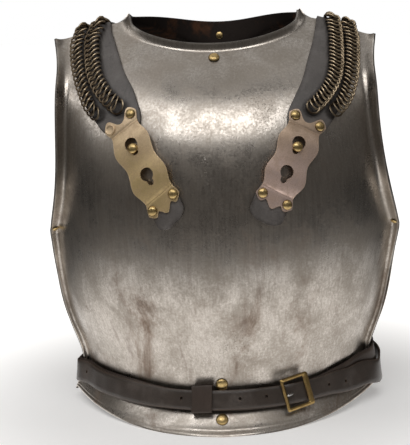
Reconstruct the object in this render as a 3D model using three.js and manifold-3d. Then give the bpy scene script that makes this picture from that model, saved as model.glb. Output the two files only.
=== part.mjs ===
// A cavalry trooper's cuirass: breastplate, backplate, chained shoulder straps and waist belt.
// Millimetres, +Z up. The chest faces -Y, +X is the wearer's left, the floor is z = 0.
import * as THREE from "three";
import { mergeVertices } from "three/addons/utils/BufferGeometryUtils.js";
import Module from "manifold-3d";

// ---- Driving dimensions -----------------------------------------------------------------

const SEAM_Y = 24.85; // where the plane of the side seams lies, so that the depth is centred
const MIDDLE_X = 3.2; // the middle of the width, as the left armhole's corner reaches further
const BREAST_WALL = 2.8;
const BACK_WALL = 1.6;
const BEND_RADIUS = 2.5; // how softly a border turns out of its plate
const LIP_RADIUS = 2;
const RIM_ROLL = 1.2; // how proud the rolled edge of a waist flange stands
const RIM_ROLL_AT = 3;
const UNEVEN = 0.08; // how far the two sides of the plates differ in their lift
const LEVEL_SHARE = 0.3; // middle share of a waist flange that lies flat on the floor
const AIR = 0.4; // gap between pieces that lie on each other

// Sections of the two plates from the floor up, each on the plate's middle line.
// out: reach from the seam plane, up: height, edge: half width of the cut outline,
// half: half width of the body form, full: how full the section is, drop: how far it falls
// back to the side, lift: how much higher its side lies, band: width of the turned border,
// sway: how far both its sides lie to +X.
const SECTION = ["out", "up", "edge", "half", "full", "drop", "lift", "band", "sway"];
const BREAST_SECTIONS = [
  [145, 0, 172, 171, 1.25, 145, 16, 1, 0],
  [129, 16, 167, 166, 1.3, 129, 10, 2, 0],
  [118, 34, 162, 159, 1.35, 118, 3, 3.5, 0],
  [118, 54, 160.5, 156.5, 1.4, 118, 0, 5, 0],
  [129, 90, 171.5, 167, 1.5, 129, 0, 5.5, 0],
  [144, 150, 184, 179.5, 1.7, 144, 0, 6, 1],
  [149.5, 200, 190, 186, 1.85, 149.5, 0, 7.5, 4],
  [149, 250, 176.5, 188, 2, 149, 0, 8.5, 5],
  [136, 310, 169, 190, 2, 136, 0, 8.5, 2.5],
  [106, 358, 167, 200, 2, 104, -3, 8.5, 1.5],
  [70, 391, 166.5, 212, 2, 62, -12, 8.5, 1],
  [27, 430.2, 170, 222, 2, 8, -27, 8.5, 0],
];
const BACK_SECTIONS = [
  [105, 0, 175, 174, 1.6, 107, 9, 1, 0],
  [92, 15, 169, 168, 1.6, 94, 5, 1, 0],
  [78, 34, 163, 162, 1.7, 84, 3, 1, 0],
  [76, 54, 162, 161, 1.75, 85, 0, 1, 0],
  [84, 90, 175, 174, 1.8, 98, 0, 1, 0],
  [98, 150, 188, 187, 1.9, 120, 0, 1, 1],
  [104, 187, 191, 188, 1.95, 134, 0, 3, 2],
  [106, 235, 176, 190, 1.9, 112, 0, 6, 1],
  [104, 310, 162, 192, 2, 104, 0, 7, 0],
  [96, 362, 159, 200, 2, 96, -3, 7, 0],
  [72, 402, 160, 225, 2, 66, -10, 7, 0],
  [22, 424.5, 163, 240, 2, 26, -24, 7, 0],
  [-22, 428.5, 166, 250, 2, 4, -28, 7, 0],
];
const BREASTPLATE = {
  sections: BREAST_SECTIONS,
  corner: 6, // section where the side edge meets the armhole
  facing: -1,
  neckHalf: 91,
  neckOut: 61, // reach of the neck edge at the middle
  lipMiddle: 6,
  lipTip: 5,
  lipRise: 2,
  lean: 0.15,
  stand: 1.35,
  flare: 1.2,
  ridge: 2,
  ridgeWidth: 22,
  neckPeak: { high: 3.5, wide: 3 },
  armPeak: { high: 6, wide: 6 },
};
const BACKPLATE = {
  sections: BACK_SECTIONS,
  corner: 6,
  facing: 1,
  neckHalf: 93,
  neckOut: 66,
  lipMiddle: 23.5,
  lipTip: 3.5,
  lipRise: 4,
  lean: 0.12,
  stand: 1.25,
  flare: 0.6,
  ridge: 0,
  ridgeWidth: 22,
  neckPeak: { high: 6, wide: 12 },
  armPeak: { high: 4, wide: 6 },
};

const SIDE_RIVET_AT = 218; // section line of the side rivets
const COLLAR_RIVET_AT = 417;
const CREST = 11; // length of a strap's arch from one plate to the other
const CREST_INSET = 2; // how far below each plate's top the arch lands
const LEATHER_GAP = 1.2;
const LEATHER = 2.4;
const CHAIN_HALF_WIDTH = 7.9;
const CHAIN_HALF_HEIGHT = 2.9;
const CHAIN_AIR = 1.85; // over the leather, so that it clears the crest
const STRAP_BEHIND = 60; // length of a strap behind the crest
const CHAIN_BEHIND = 46;
const CHAIN_ACROSS_BEHIND = { inner: 124, outer: 141.5 };

// The straps' middle lines down the breastplate: across from the middle, along the plate's
// section line from the floor, and half the leather's width there. The chain rows on them are
// given in the same way, without a width.
const STRAP_LINE = ["across", "along", "half"];
const STRAPS = {
  left: {
    side: -1,
    line: [
      [130, 486, 19.5],
      [126.8, 450, 23.3],
      [118.5, 405, 26],
      [106.5, 370, 27.5],
      [93, 343, 22.5],
    ],
    chains: {
      inner: [[123.5, 486], [128, 470], [128.6, 455], [127.3, 437], [125.3, 416], [120.8, 396], [111.5, 376.5], [103.5, 367], [97, 361.5]],
      outer: [[141.5, 486], [144.6, 472], [145.5, 457], [144.5, 440], [141.5, 414], [136, 388], [129, 366.5], [123.5, 356], [117.5, 350]],
    },
    plateTop: [92.7, 343],
    plateFoot: [49.8, 262.5],
    tabFoot: [43.5, 243],
    tabHalf: 16,
    skew: 0.2,
  },
  right: {
    side: 1,
    line: [
      [130, 486, 20.5],
      [127, 450, 22.5],
      [120.5, 405, 24.5],
      [110, 368, 24],
      [95.5, 340, 21.5],
    ],
    chains: {
      inner: [[125.5, 486], [127.2, 471], [127.4, 452], [127, 427], [125, 399], [119.3, 379], [113.5, 368.5], [108, 361.5], [102.5, 356.5]],
      outer: [[141.5, 486], [143.2, 473], [144.2, 457], [143.4, 430], [141.5, 402], [137, 376], [132.5, 363], [127.2, 354], [121.5, 347.5]],
    },
    plateTop: [94.6, 338.7],
    plateFoot: [60.5, 263],
    tabFoot: [56, 240],
    tabHalf: 18.5,
    skew: 0.11,
  },
};

const BRASS_WALL = 1.5;
const PLATE_LENGTH = 91; // between a strap plate's two rows of rivets
const RIVET_SPREAD = 13.4;
const CREASE_TOP = 8.5;
const CREASE_FOOT = 83;
// Half width and height of a strap plate along its length, from the upper rivets.
const PLATE_OUTLINE = { along: [-8, 8.5, 26, 45, 64, 83, 102], half: [18, 16.5, 20, 17.2, 20.5, 17, 18] };
const PLATE_RISE = { along: [8.5, 22, 45, 68, 83], high: [0, 3.2, 2.2, 3.2, 0] };
const PLATE_COLUMNS = [-1, -0.72, -0.36, 0, 0.36, 0.72, 1];
const PLATE_TOP_EDGE = [-3, -8, -3.5, 1.5, -3.5, -8, -3];
const PLATE_FOOT_EDGE = [94, 99, 96, 102, 96, 99, 94];
const KEYHOLES = [27, 60];
const KEYHOLE_RADIUS = 6.8;
const SLOT_HALF = 3.9;
const SLOT_REACH = 10.5;
const STUD_AT = 31.5;

// Belt layers: height of the inner face over the plate, thickness.
const INNER_BELT = { lie: 2.8, thick: 1.8 };
const OUTER_BELT = { lie: 5.2, thick: 2 };
const BELT_TOP_AT = 57; // section lines of the plates that a belt bears on
const BELT_FOOT_AT = 27;
const KEEPER_MIDDLE = -18.5;
const KEEPER_WIDE = 22;
const KEEPER_WALL = 1.6;
const BUCKLE_X = 75.5;
const BUCKLE_TURN = THREE.MathUtils.degToRad(16.5);
const BUCKLE_HALF_WIDTH = 16.6;
const BUCKLE_HALF_HEIGHT = 17.8;
const BUCKLE_BAR = 3.8;
const BELT_HOLES = [-149, -40, 19, 45.6, 70.4, 110, 127.5];
const BELT_HOLE_RADIUS = 1.6;
const PRONG_HOLE_RADIUS = 2.4;

// ---- Materials ---------------------------------------------------------------------------

function metal(color, roughness) {
  return () => new THREE.MeshStandardMaterial({ color, roughness, metalness: 1 });
}

function hide(color, roughness) {
  return () => new THREE.MeshStandardMaterial({ color, roughness, metalness: 0 });
}

const steel = metal(0x9a948c, 0.38);
const brass = metal(0xb7995a, 0.35);
const plateBrass = metal(0x8f7860, 0.45);
const chainBrass = metal(0x6b5a42, 0.5);
const strapHide = hide(0x4a4743, 0.6);
const beltHide = hide(0x332b27, 0.55);

// ---- Small tools -------------------------------------------------------------------------

const V = (x, y, z) => new THREE.Vector3(x, y, z);
const lerp = THREE.MathUtils.lerp;
const wasm = await Module();
wasm.setup();

// A natural cubic spline through the knots, level with its end values outside them.
function spline(at, value) {
  const last = at.length - 1;
  const bend = new Array(last + 1).fill(0);
  const carry = new Array(last + 1).fill(0);
  for (let i = 1; i < last; i++) {
    const before = at[i] - at[i - 1];
    const after = at[i + 1] - at[i];
    const share = before / (before + after);
    const pivot = share * bend[i - 1] + 2;
    const turn = (value[i + 1] - value[i]) / after - (value[i] - value[i - 1]) / before;
    bend[i] = (share - 1) / pivot;
    carry[i] = ((6 * turn) / (before + after) - share * carry[i - 1]) / pivot;
  }
  for (let i = last - 1; i >= 0; i--) bend[i] = bend[i] * bend[i + 1] + carry[i];
  return (t) => {
    const s = THREE.MathUtils.clamp(t, at[0], at[last]);
    let i = 0;
    while (i < last - 1 && s > at[i + 1]) i++;
    const step = at[i + 1] - at[i];
    const a = (at[i + 1] - s) / step;
    const b = 1 - a;
    const curve = (a ** 3 - a) * bend[i] + (b ** 3 - b) * bend[i + 1];
    return a * value[i] + b * value[i + 1] + (curve * step * step) / 6;
  };
}

// Zero below zero and the value itself above, with a bend of the given radius between.
function softStep(value, radius) {
  return value / radius > 30 ? value : radius * Math.log1p(Math.exp(value / radius));
}

function mesh(name, geometry, material) {
  geometry.computeVertexNormals();
  const piece = new THREE.Mesh(geometry, material());
  piece.name = name;
  return piece;
}

// Triangles with one shared set of corners, turned so that they all face out.
function closedGeometry(corners, index) {
  let volume = 0;
  for (let i = 0; i < index.length; i += 3) {
    const [a, b, c] = [corners[index[i]], corners[index[i + 1]], corners[index[i + 2]]];
    volume += a.dot(b.clone().cross(c));
  }
  const facing = volume < 0 ? index.slice().reverse() : index;
  const geometry = new THREE.BufferGeometry().setFromPoints(corners);
  geometry.setIndex(facing);
  return geometry;
}

// The wall between two grids of points, closed along its four borders.
function slab(outer, inner) {
  const rows = outer.length;
  const columns = outer[0].length;
  const corners = [...outer.flat(), ...inner.flat()];
  const index = [];
  const at = (row, column, layer) => layer * rows * columns + row * columns + column;
  const quad = (a, b, c, d) => index.push(a, b, c, a, c, d);
  for (let r = 0; r < rows - 1; r++) {
    for (let c = 0; c < columns - 1; c++) {
      quad(at(r, c, 0), at(r, c + 1, 0), at(r + 1, c + 1, 0), at(r + 1, c, 0));
      quad(at(r, c, 1), at(r + 1, c, 1), at(r + 1, c + 1, 1), at(r, c + 1, 1));
    }
    quad(at(r, 0, 0), at(r + 1, 0, 0), at(r + 1, 0, 1), at(r, 0, 1));
    const end = columns - 1;
    quad(at(r, end, 0), at(r, end, 1), at(r + 1, end, 1), at(r + 1, end, 0));
  }
  for (let c = 0; c < columns - 1; c++) {
    quad(at(0, c, 0), at(0, c, 1), at(0, c + 1, 1), at(0, c + 1, 0));
    const end = rows - 1;
    quad(at(end, c, 0), at(end, c + 1, 0), at(end, c + 1, 1), at(end, c, 1));
  }
  return closedGeometry(corners, index);
}

function toSolid(geometry) {
  const bare = geometry.clone();
  bare.deleteAttribute("normal");
  bare.deleteAttribute("uv");
  const merged = mergeVertices(bare, 1e-4);
  return new wasm.Manifold(
    new wasm.Mesh({
      numProp: 3,
      vertProperties: new Float32Array(merged.attributes.position.array),
      triVerts: new Uint32Array(merged.index.array),
    }),
  );
}

function fromSolid(solid) {
  const made = solid.getMesh();
  const geometry = new THREE.BufferGeometry();
  geometry.setAttribute("position", new THREE.BufferAttribute(made.vertProperties, 3));
  geometry.setIndex(new THREE.BufferAttribute(made.triVerts, 1));
  return geometry;
}

// ---- The plates as surfaces --------------------------------------------------------------

// A plate's outer face: x across and t along its middle line from the floor.
function plateSurface(plate) {
  const column = (name) => plate.sections.map((row) => row[SECTION.indexOf(name)]);
  const out = column("out");
  const up = column("up");
  const along = [0];
  for (let i = 1; i < out.length; i++) {
    along.push(along[i - 1] + Math.hypot(out[i] - out[i - 1], up[i] - up[i - 1]));
  }
  const at = Object.fromEntries(SECTION.map((name) => [name, spline(along, column(name))]));
  const cornerAt = along[plate.corner];
  const sideEdge = spline(along.slice(0, plate.corner + 1), column("edge").slice(0, plate.corner + 1));
  const armEdge = spline(along.slice(plate.corner), column("edge").slice(plate.corner));
  const top = along[along.length - 1];
  const edge = (t) => (t < cornerAt ? sideEdge(t) : armEdge(t));
  const fold = (t) => edge(t) - at.band(t);

  let neckAt = top;
  while (at.out(neckAt) < plate.neckOut) neckAt -= 0.25;

  const neckEdge = (x) => {
    const share = Math.min(1, Math.abs(x) / plate.neckHalf);
    return top - (top - neckAt) * Math.sqrt(1 - share * share);
  };

  // Distance of a point of the surface from the neck edge.
  const neckDistance = (x, t) => {
    const wide = plate.neckHalf;
    const deep = top - neckAt;
    const radius = Math.hypot(x / wide, (top - t) / deep) + 1e-9;
    return ((radius - 1) * radius) / (Math.hypot(x / wide ** 2, (top - t) / deep ** 2) + 1e-12);
  };

  const point = (x, t) => {
    const away = Math.abs(x);
    const border = softStep(away - fold(t), BEND_RADIUS);
    const middle = Math.sqrt(1 - Math.min(1, away / plate.neckHalf) ** 2);
    const lipWidth = lerp(plate.lipTip, plate.lipMiddle, middle ** plate.lipRise);
    const lip = softStep(lipWidth - neckDistance(away, t), LIP_RADIUS);
    const s = t - lip;
    const inside = away - border;
    const round = (1 - Math.min(0.9999, inside / at.half(s)) ** 2) ** (1 / at.full(s));
    const roll = RIM_ROLL * Math.exp(-(((t - RIM_ROLL_AT) / RIM_ROLL_AT) ** 2));
    const reach = at.out(s) - at.drop(s) * (1 - round) + plate.ridge * Math.exp(-inside / plate.ridgeWidth);
    const side = Math.max(0, (away / edge(t) - LEVEL_SHARE) / (1 - LEVEL_SHARE));
    const uneven = 1 + (UNEVEN * x) / edge(t);
    const peak = ({ high, wide }, edgeAt) => high * Math.exp(-Math.hypot(away - edgeAt, top - t) / wide);
    const tips = peak(plate.neckPeak, plate.neckHalf) + peak(plate.armPeak, edge(t));
    return V(
      x + at.sway(t) * (away / edge(t)) ** 3,
      SEAM_Y + plate.facing * (reach + roll + plate.flare * border + plate.lean * lip),
      at.up(s) + at.lift(s) * side ** 2.1 * uneven + plate.stand * lip + tips,
    );
  };

  const normal = (x, t) => {
    const step = 0.05;
    const acrossStep = point(x + step, t).sub(point(x - step, t));
    const alongStep = point(x, t + step).sub(point(x, t - step));
    return acrossStep.cross(alongStep).normalize().multiplyScalar(-plate.facing);
  };

  const raised = (x, t, height) => point(x, t).addScaledVector(normal(x, t), height);
  return { plate, point, normal, raised, edge, fold, neckEdge, neckAt, top, cornerAt };
}

const breast = plateSurface(BREASTPLATE);
const back = plateSurface(BACKPLATE);

// Columns of a plate's grid at its top, as distances from the middle, and on the border.
function plateColumns(surface) {
  const outer = surface.fold(surface.top);
  const neck = surface.plate.neckHalf;
  const inNeck = [0, 0.24, 0.48, 0.7, 0.88, 0.97, 1].map((share) => (share * neck) / outer);
  const pastNeck = [0.3, 0.58, 0.82, 1].map((share) => lerp(neck / outer, 1, share));
  const half = [...inNeck, ...pastNeck].map((share) => ({ share, turned: 0 }));
  half.push({ share: 1, turned: 0.45 }, { share: 1, turned: 1 });
  const mirrored = half.slice(1).reverse();
  return [...mirrored.map((c) => ({ ...c, sign: -1 })), ...half.map((c) => ({ ...c, sign: 1 }))];
}

// One closed shell: the outer face, the inner face a wall's thickness behind it, and the rims.
function plateShell(surface, rows, wall) {
  const halfWay = surface.cornerAt;
  const columns = plateColumns(surface);
  const outer = [];
  const inner = [];
  for (const row of rows) {
    const outerRow = [];
    const innerRow = [];
    for (const { share, turned, sign } of columns) {
      const topX = share * surface.fold(surface.top);
      const reach = surface.neckEdge(turned > 0 ? surface.edge(surface.top) : topX);
      const squeeze = (reach - halfWay) / (surface.top - halfWay);
      const t = row <= halfWay ? row : halfWay + (row - halfWay) * squeeze;
      const x = sign * (share * surface.fold(t) + turned * (surface.edge(t) - surface.fold(t)));
      const face = surface.point(x, t);
      const behind = surface.raised(x, t, -wall);
      behind.z = Math.max(behind.z, surface.point(x, 0).z);
      outerRow.push(face);
      innerRow.push(behind);
    }
    outer.push(outerRow);
    inner.push(innerRow);
  }
  return slab(outer, inner);
}

// Rows of a plate's grid: close at the rolled rim, the waist groove and the neck lip.
function plateRows(surface, step) {
  const rows = [0, 3, 6, 12, 20, 28, 36, 45, 56, 74];
  const last = surface.top - 30;
  const below = Math.round((surface.cornerAt - 74) / step);
  for (let i = 1; i <= below; i++) rows.push(lerp(74, surface.cornerAt, i / below));
  const above = Math.round((last - surface.cornerAt) / step);
  for (let i = 1; i <= above; i++) rows.push(lerp(surface.cornerAt, last, i / above));
  for (const fromTop of [18, 11, 7.5, 4.5, 2, 0]) rows.push(surface.top - fromTop);
  return rows;
}

// ---- Rivets ------------------------------------------------------------------------------

// A domed rivet head on its flat foot, standing on +Z.
function domeProfile(radius, height) {
  const profile = [new THREE.Vector2(0, 0), new THREE.Vector2(radius * 0.94, 0)];
  for (const degrees of [10, 48]) {
    const a = THREE.MathUtils.degToRad(degrees);
    profile.push(new THREE.Vector2(radius * Math.cos(a), height * Math.sin(a)));
  }
  profile.push(new THREE.Vector2(0, height));
  return profile;
}

// A lathed piece whose +Z is turned along a direction.
function turned(name, profile, place, direction, material, sides = 9) {
  const shape = new THREE.LatheGeometry(profile, sides);
  shape.rotateX(Math.PI / 2);
  const piece = mesh(name, shape, material);
  piece.position.copy(place);
  piece.quaternion.setFromUnitVectors(V(0, 0, 1), direction);
  return piece;
}

function rivetOn(surface, name, x, t, radius, height, lie, material) {
  const place = surface.raised(x, t, lie);
  return turned(name, domeProfile(radius, height), place, surface.normal(x, t), material);
}

// The clenched end of the collar's rivet, on the inside of the backplate.
function collarRivet() {
  const way = back.normal(0, COLLAR_RIVET_AT).negate();
  const place = back.point(0, COLLAR_RIVET_AT).addScaledVector(way, BACK_WALL + 2 * AIR);
  return turned("collar_rivet", domeProfile(4.2, 2), place, way, brass);
}

// ---- Shoulder straps ---------------------------------------------------------------------

const ARCH_START = breast.top - CREST_INSET;
const ARCH_END = ARCH_START + CREST;

// A point at a height over the straps' bed: up the breastplate, over the crest, down the back.
function overShoulder(x, s, height) {
  if (s <= ARCH_START) return breast.raised(x, s, height);
  const backTop = back.top - CREST_INSET;
  if (s >= ARCH_END) return back.raised(x, backTop - (s - ARCH_END), height);
  const start = breast.raised(x, ARCH_START, height);
  const end = back.raised(x, backTop, height);
  const rising = start.clone().sub(breast.raised(x, ARCH_START - 1, height));
  const apex = start.clone().addScaledVector(rising.normalize(), CREST * 0.42);
  return new THREE.QuadraticBezierCurve3(start, apex, end).getPoint((s - ARCH_START) / CREST);
}

// A strap's middle line as a curve of (across, along, half width), from its foot to its back end.
function strapLine(strap) {
  const line = [...strap.line].reverse().map(([across, along, half]) => V(across, along, half));
  line.push(V(130, ARCH_END, 20), V(129, ARCH_END + 30, 20), V(127, ARCH_END + STRAP_BEHIND, 19));
  return new THREE.CatmullRomCurve3(line);
}

// A chain row's middle line, from its foot to its back end.
function chainLine(strap, row) {
  const line = [...strap.chains[row]].reverse().map(([across, along]) => V(across, along, 0));
  const across = CHAIN_ACROSS_BEHIND[row];
  for (const behind of [0, 20, CHAIN_BEHIND]) line.push(V(across, ARCH_END + behind, 0));
  return new THREE.CatmullRomCurve3(line);
}

// The place on the bed beside a strap's middle line, outward positive, and the line's direction.
function besideStrap(strap, curve, share, outward, height) {
  const here = curve.getPointAt(share);
  const way = curve.getTangentAt(share);
  const length = Math.hypot(way.x, way.y);
  const x = here.x + (way.y / length) * outward;
  const s = here.y - (way.x / length) * outward;
  return overShoulder(strap.side * x, s, height);
}

// The share of a strap's line at a length along the bed.
function shareAt(curve, along) {
  let low = 0;
  let high = 1;
  for (let i = 0; i < 24; i++) {
    const middle = (low + high) / 2;
    if (curve.getPointAt(middle).y < along) low = middle;
    else high = middle;
  }
  return low;
}

function strapLeather(name, strap) {
  const curve = strapLine(strap);
  const start = shareAt(curve, ARCH_START - 1);
  const end = shareAt(curve, ARCH_END + 1);
  const shares = [];
  for (let i = 0; i < 13; i++) shares.push(lerp(0, start, i / 13));
  for (let i = 0; i < 4; i++) shares.push(lerp(start, end, i / 4));
  for (let i = 0; i <= 3; i++) shares.push(lerp(end, 1, i / 3));
  const layer = (height) =>
    shares.map((share) => {
      const half = curve.getPointAt(share).z;
      return [-1, -0.5, 0, 0.5, 1].map((column) =>
        besideStrap(strap, curve, share, column * half, height),
      );
    });
  return mesh(name, slab(layer(LEATHER_GAP + LEATHER), layer(LEATHER_GAP)), strapHide);
}

// A curve that carries its own up direction, so that a flat section lies on what it runs over.
class LaidRoute extends THREE.CatmullRomCurve3 {
  constructor(points, ups) {
    super(points);
    this.ups = new THREE.CatmullRomCurve3(ups);
  }
  computeFrenetFrames(segments) {
    const frames = { tangents: [], normals: [], binormals: [] };
    for (let i = 0; i <= segments; i++) {
      const tangent = this.getTangentAt(i / segments);
      const up = this.ups.getPoint(this.getUtoTmapping(i / segments));
      const normal = up.addScaledVector(tangent, -up.dot(tangent)).normalize();
      frames.tangents.push(tangent);
      frames.normals.push(normal);
      frames.binormals.push(tangent.clone().cross(normal));
    }
    return frames;
  }
}

function ovalSection(halfHeight, halfWidth, sides) {
  const corners = [];
  for (let i = 0; i < sides; i++) {
    const a = ((i + 0.5) / sides) * 2 * Math.PI;
    corners.push(new THREE.Vector2(halfHeight * Math.cos(a), halfWidth * Math.sin(a)));
  }
  return new THREE.Shape(corners);
}

function strapChain(name, strap, row) {
  const curve = chainLine(strap, row);
  const height = LEATHER_GAP + LEATHER + CHAIN_AIR + CHAIN_HALF_HEIGHT;
  const points = [];
  const ups = [];
  const stations = 34;
  for (let i = 0; i <= stations; i++) {
    const here = besideStrap(strap, curve, i / stations, 0, height);
    points.push(here);
    ups.push(here.clone().sub(besideStrap(strap, curve, i / stations, 0, 0)).normalize());
  }
  const shape = ovalSection(CHAIN_HALF_HEIGHT, CHAIN_HALF_WIDTH, 8);
  const route = new LaidRoute(points, ups);
  const tube = new THREE.ExtrudeGeometry(shape, { steps: 21, bevelEnabled: false, extrudePath: route });
  return mesh(name, tube, chainBrass);
}

// ---- Strap plates ------------------------------------------------------------------------

const plateHalf = spline(PLATE_OUTLINE.along, PLATE_OUTLINE.half);
const plateRise = spline(PLATE_RISE.along, PLATE_RISE.high);
const TAB_LIE = LEATHER_GAP + LEATHER + AIR;

// A place on the breastplate beside a strap plate's middle line.
function onPanel(strap, along, outward, height) {
  const top = new THREE.Vector2(...strap.plateTop);
  const foot = new THREE.Vector2(...strap.plateFoot);
  const way = foot.clone().sub(top).multiplyScalar(1 / PLATE_LENGTH);
  const aside = new THREE.Vector2(-way.y, way.x).normalize();
  const place = top.addScaledVector(way, along + strap.skew * outward).addScaledVector(aside, outward);
  return breast.raised(strap.side * place.x, place.y, height);
}

function panelNormal(strap, along, outward) {
  return onPanel(strap, along, outward, 1).sub(onPanel(strap, along, outward, 0));
}

function keyholeShape() {
  const shape = new THREE.Shape();
  const start = Math.asin(SLOT_HALF / KEYHOLE_RADIUS);
  const turnedBy = -Math.PI / 2;
  shape.absarc(0, 0, KEYHOLE_RADIUS, turnedBy + start, turnedBy - start + 2 * Math.PI, false);
  shape.absarc(0, SLOT_HALF - SLOT_REACH, SLOT_HALF, Math.PI, 2 * Math.PI, false);
  return shape;
}

// The cutter of one keyhole, standing through the plate with its slot towards the foot.
function keyholeCutter(strap, along) {
  const depth = 16;
  const cutter = new THREE.ExtrudeGeometry(keyholeShape(), { depth, bevelEnabled: false, curveSegments: 4 });
  const up = panelNormal(strap, along, 0);
  const towardsTop = onPanel(strap, along - 5, 0, 0).sub(onPanel(strap, along + 5, 0, 0));
  towardsTop.addScaledVector(up, -up.dot(towardsTop)).normalize();
  const across = towardsTop.clone().cross(up);
  cutter.translate(0, 0, -depth / 2);
  cutter.applyMatrix4(new THREE.Matrix4().makeBasis(across, towardsTop, up));
  const place = onPanel(strap, along, 0, TAB_LIE + plateRise(along));
  return cutter.translate(place.x, place.y, place.z);
}

function strapPlate(name, strap) {
  const inner = [0.18, 0.35, 0.5, 0.65, 0.82];
  const spans = [0, 0.5, 1];
  const rowAt = (column) => {
    const head = spans.map((s) => lerp(PLATE_TOP_EDGE[column], CREASE_TOP, s));
    const panel = inner.map((s) => lerp(CREASE_TOP, CREASE_FOOT, s));
    const foot = spans.map((s) => lerp(CREASE_FOOT, PLATE_FOOT_EDGE[column], s));
    return [...head, ...panel, ...foot];
  };
  const alongs = PLATE_COLUMNS.map((_, column) => rowAt(column));
  const top = [];
  const under = [];
  for (let r = 0; r < alongs[0].length; r++) {
    const place = (column, lift) => {
      const along = alongs[column][r];
      const outward = PLATE_COLUMNS[column] * plateHalf(along);
      return onPanel(strap, along, outward, TAB_LIE + plateRise(along) + lift);
    };
    top.push(PLATE_COLUMNS.map((_, column) => place(column, BRASS_WALL)));
    under.push(PLATE_COLUMNS.map((_, column) => place(column, 0)));
  }
  let solid = toSolid(slab(top, under));
  for (const along of KEYHOLES) solid = solid.subtract(toSolid(keyholeCutter(strap, along)));
  return mesh(name, fromSolid(solid), plateBrass);
}

// The short leather pull below a strap plate.
function pullTab(name, strap) {
  const start = PLATE_LENGTH - 9;
  const footLine = new THREE.Vector2(...strap.tabFoot).distanceTo(new THREE.Vector2(...strap.plateFoot));
  const end = PLATE_LENGTH + footLine;
  const stations = [0, 0.25, 0.5, 0.75, 0.92, 1];
  const top = [];
  const under = [];
  for (const share of stations) {
    const rounding = share > 0.8 ? 1 - 2.2 * (share - 0.8) ** 1.2 : 1;
    const half = strap.tabHalf * rounding;
    const along = lerp(start, end, share);
    const across = [-1, -0.5, 0, 0.5, 1].map((column) => column * half);
    top.push(across.map((w) => onPanel(strap, along, w, LEATHER_GAP + LEATHER)));
    under.push(across.map((w) => onPanel(strap, along, w, LEATHER_GAP)));
  }
  return mesh(name, slab(top, under), strapHide);
}

function studProfile() {
  const outline = [
    [0, 0],
    [4, 0],
    [4, 1.2],
    [2.6, 1.4],
    [2.6, 8],
    [4.6, 8.4],
    [5, 9.6],
    [4.1, 11.4],
    [2.2, 12.6],
    [0, 13],
  ];
  return outline.map(([radius, height]) => new THREE.Vector2(radius, height));
}

// The flat ring left where a rivet has lost its dome.
function ringProfile(radius) {
  const outline = [
    [0, 0],
    [radius, 0],
    [radius, 1.1],
    [radius * 0.82, 1.5],
    [radius * 0.62, 1.1],
    [radius * 0.55, 0.7],
    [0, 0.7],
  ];
  return outline.map(([r, height]) => new THREE.Vector2(r, height));
}

function strapFittings(side, strap) {
  const made = [strapPlate(`strap_plate_${side}`, strap), pullTab(`pull_tab_${side}`, strap)];
  const lie = TAB_LIE + BRASS_WALL + AIR;
  for (const [row, along] of [["top", 0], ["foot", PLATE_LENGTH]]) {
    for (const [place, outward] of [["inner", -RIVET_SPREAD], ["outer", RIVET_SPREAD]]) {
      const name = `plate_rivet_${side}_${row}_${place}`;
      const worn = name === "plate_rivet_left_top_outer";
      const profile = worn ? ringProfile(5.6) : domeProfile(5.6, 4);
      const foot = onPanel(strap, along, outward, lie);
      made.push(turned(name, profile, foot, panelNormal(strap, along, outward), brass));
    }
  }
  const studFoot = onPanel(strap, STUD_AT, 0, AIR);
  const studWay = panelNormal(strap, STUD_AT, 0);
  made.push(turned(`strap_stud_${side}`, studProfile(), studFoot, studWay, brass, 12));
  return made;
}

// The two rivets that hold a strap's back end.
function strapBackRivets(side, strap) {
  const curve = strapLine(strap);
  const share = shareAt(curve, ARCH_END + STRAP_BEHIND - 8);
  return [["inner", -9], ["outer", 9]].map(([place, outward]) => {
    const low = besideStrap(strap, curve, share, outward, LEATHER_GAP + LEATHER + AIR);
    const high = besideStrap(strap, curve, share, outward, LEATHER_GAP + LEATHER + AIR + 1);
    const way = high.sub(low).normalize();
    return turned(`strap_rivet_${side}_${place}`, domeProfile(5, 3.4), low, way, brass);
  });
}

// ---- Waist belt --------------------------------------------------------------------------

// Where a belt lies over the waist: it bears on the plate above and below the groove.
function waistSeat(surface, x, rise = 0) {
  const top = surface.point(x, BELT_TOP_AT + rise);
  const foot = surface.point(x, BELT_FOOT_AT + rise);
  const up = top.clone().sub(foot).normalize();
  const step = 0.5;
  const ahead = surface.point(x + step, BELT_TOP_AT).sub(surface.point(x - step, BELT_TOP_AT));
  const away = ahead.cross(up).normalize().multiplyScalar(-surface.plate.facing);
  return { middle: top.add(foot).multiplyScalar(0.5), away, up };
}

// A belt's station on a plate: its inner face at a height over the seat, and its half width.
function seated(surface, x, height, half, rise = 0) {
  const seat = waistSeat(surface, x, rise);
  return { place: seat.middle.addScaledVector(seat.away, height), away: seat.away, half };
}

// A station beside a hip, given from the seam plane, with its outward direction in plan.
function besideHip(x, y, z, outX, outY, half) {
  return { place: V(x, SEAM_Y + y, z), away: V(outX, outY, 0.12).normalize(), half };
}

// A flat band of leather through its stations.
function bandGeometry(stations, thick, rows) {
  const route = new THREE.CatmullRomCurve3(stations.map((station) => station.place));
  const ways = new THREE.CatmullRomCurve3(stations.map((station) => station.away));
  const halves = new THREE.CatmullRomCurve3(stations.map((station) => V(station.half, 0, 0)));
  const outer = [];
  const inner = [];
  for (let r = 0; r <= rows; r++) {
    const t = route.getUtoTmapping(r / rows);
    const tangent = route.getTangent(t);
    const away = ways.getPoint(t);
    away.addScaledVector(tangent, -away.dot(tangent)).normalize();
    const up = tangent.clone().cross(away);
    const half = halves.getPoint(t).x;
    const edge = (share, lift) =>
      route.getPoint(t).addScaledVector(up, share * half).addScaledVector(away, lift);
    outer.push([edge(-1, thick), edge(1, thick)]);
    inner.push([edge(-1, 0), edge(1, 0)]);
  }
  return slab(outer, inner);
}

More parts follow.
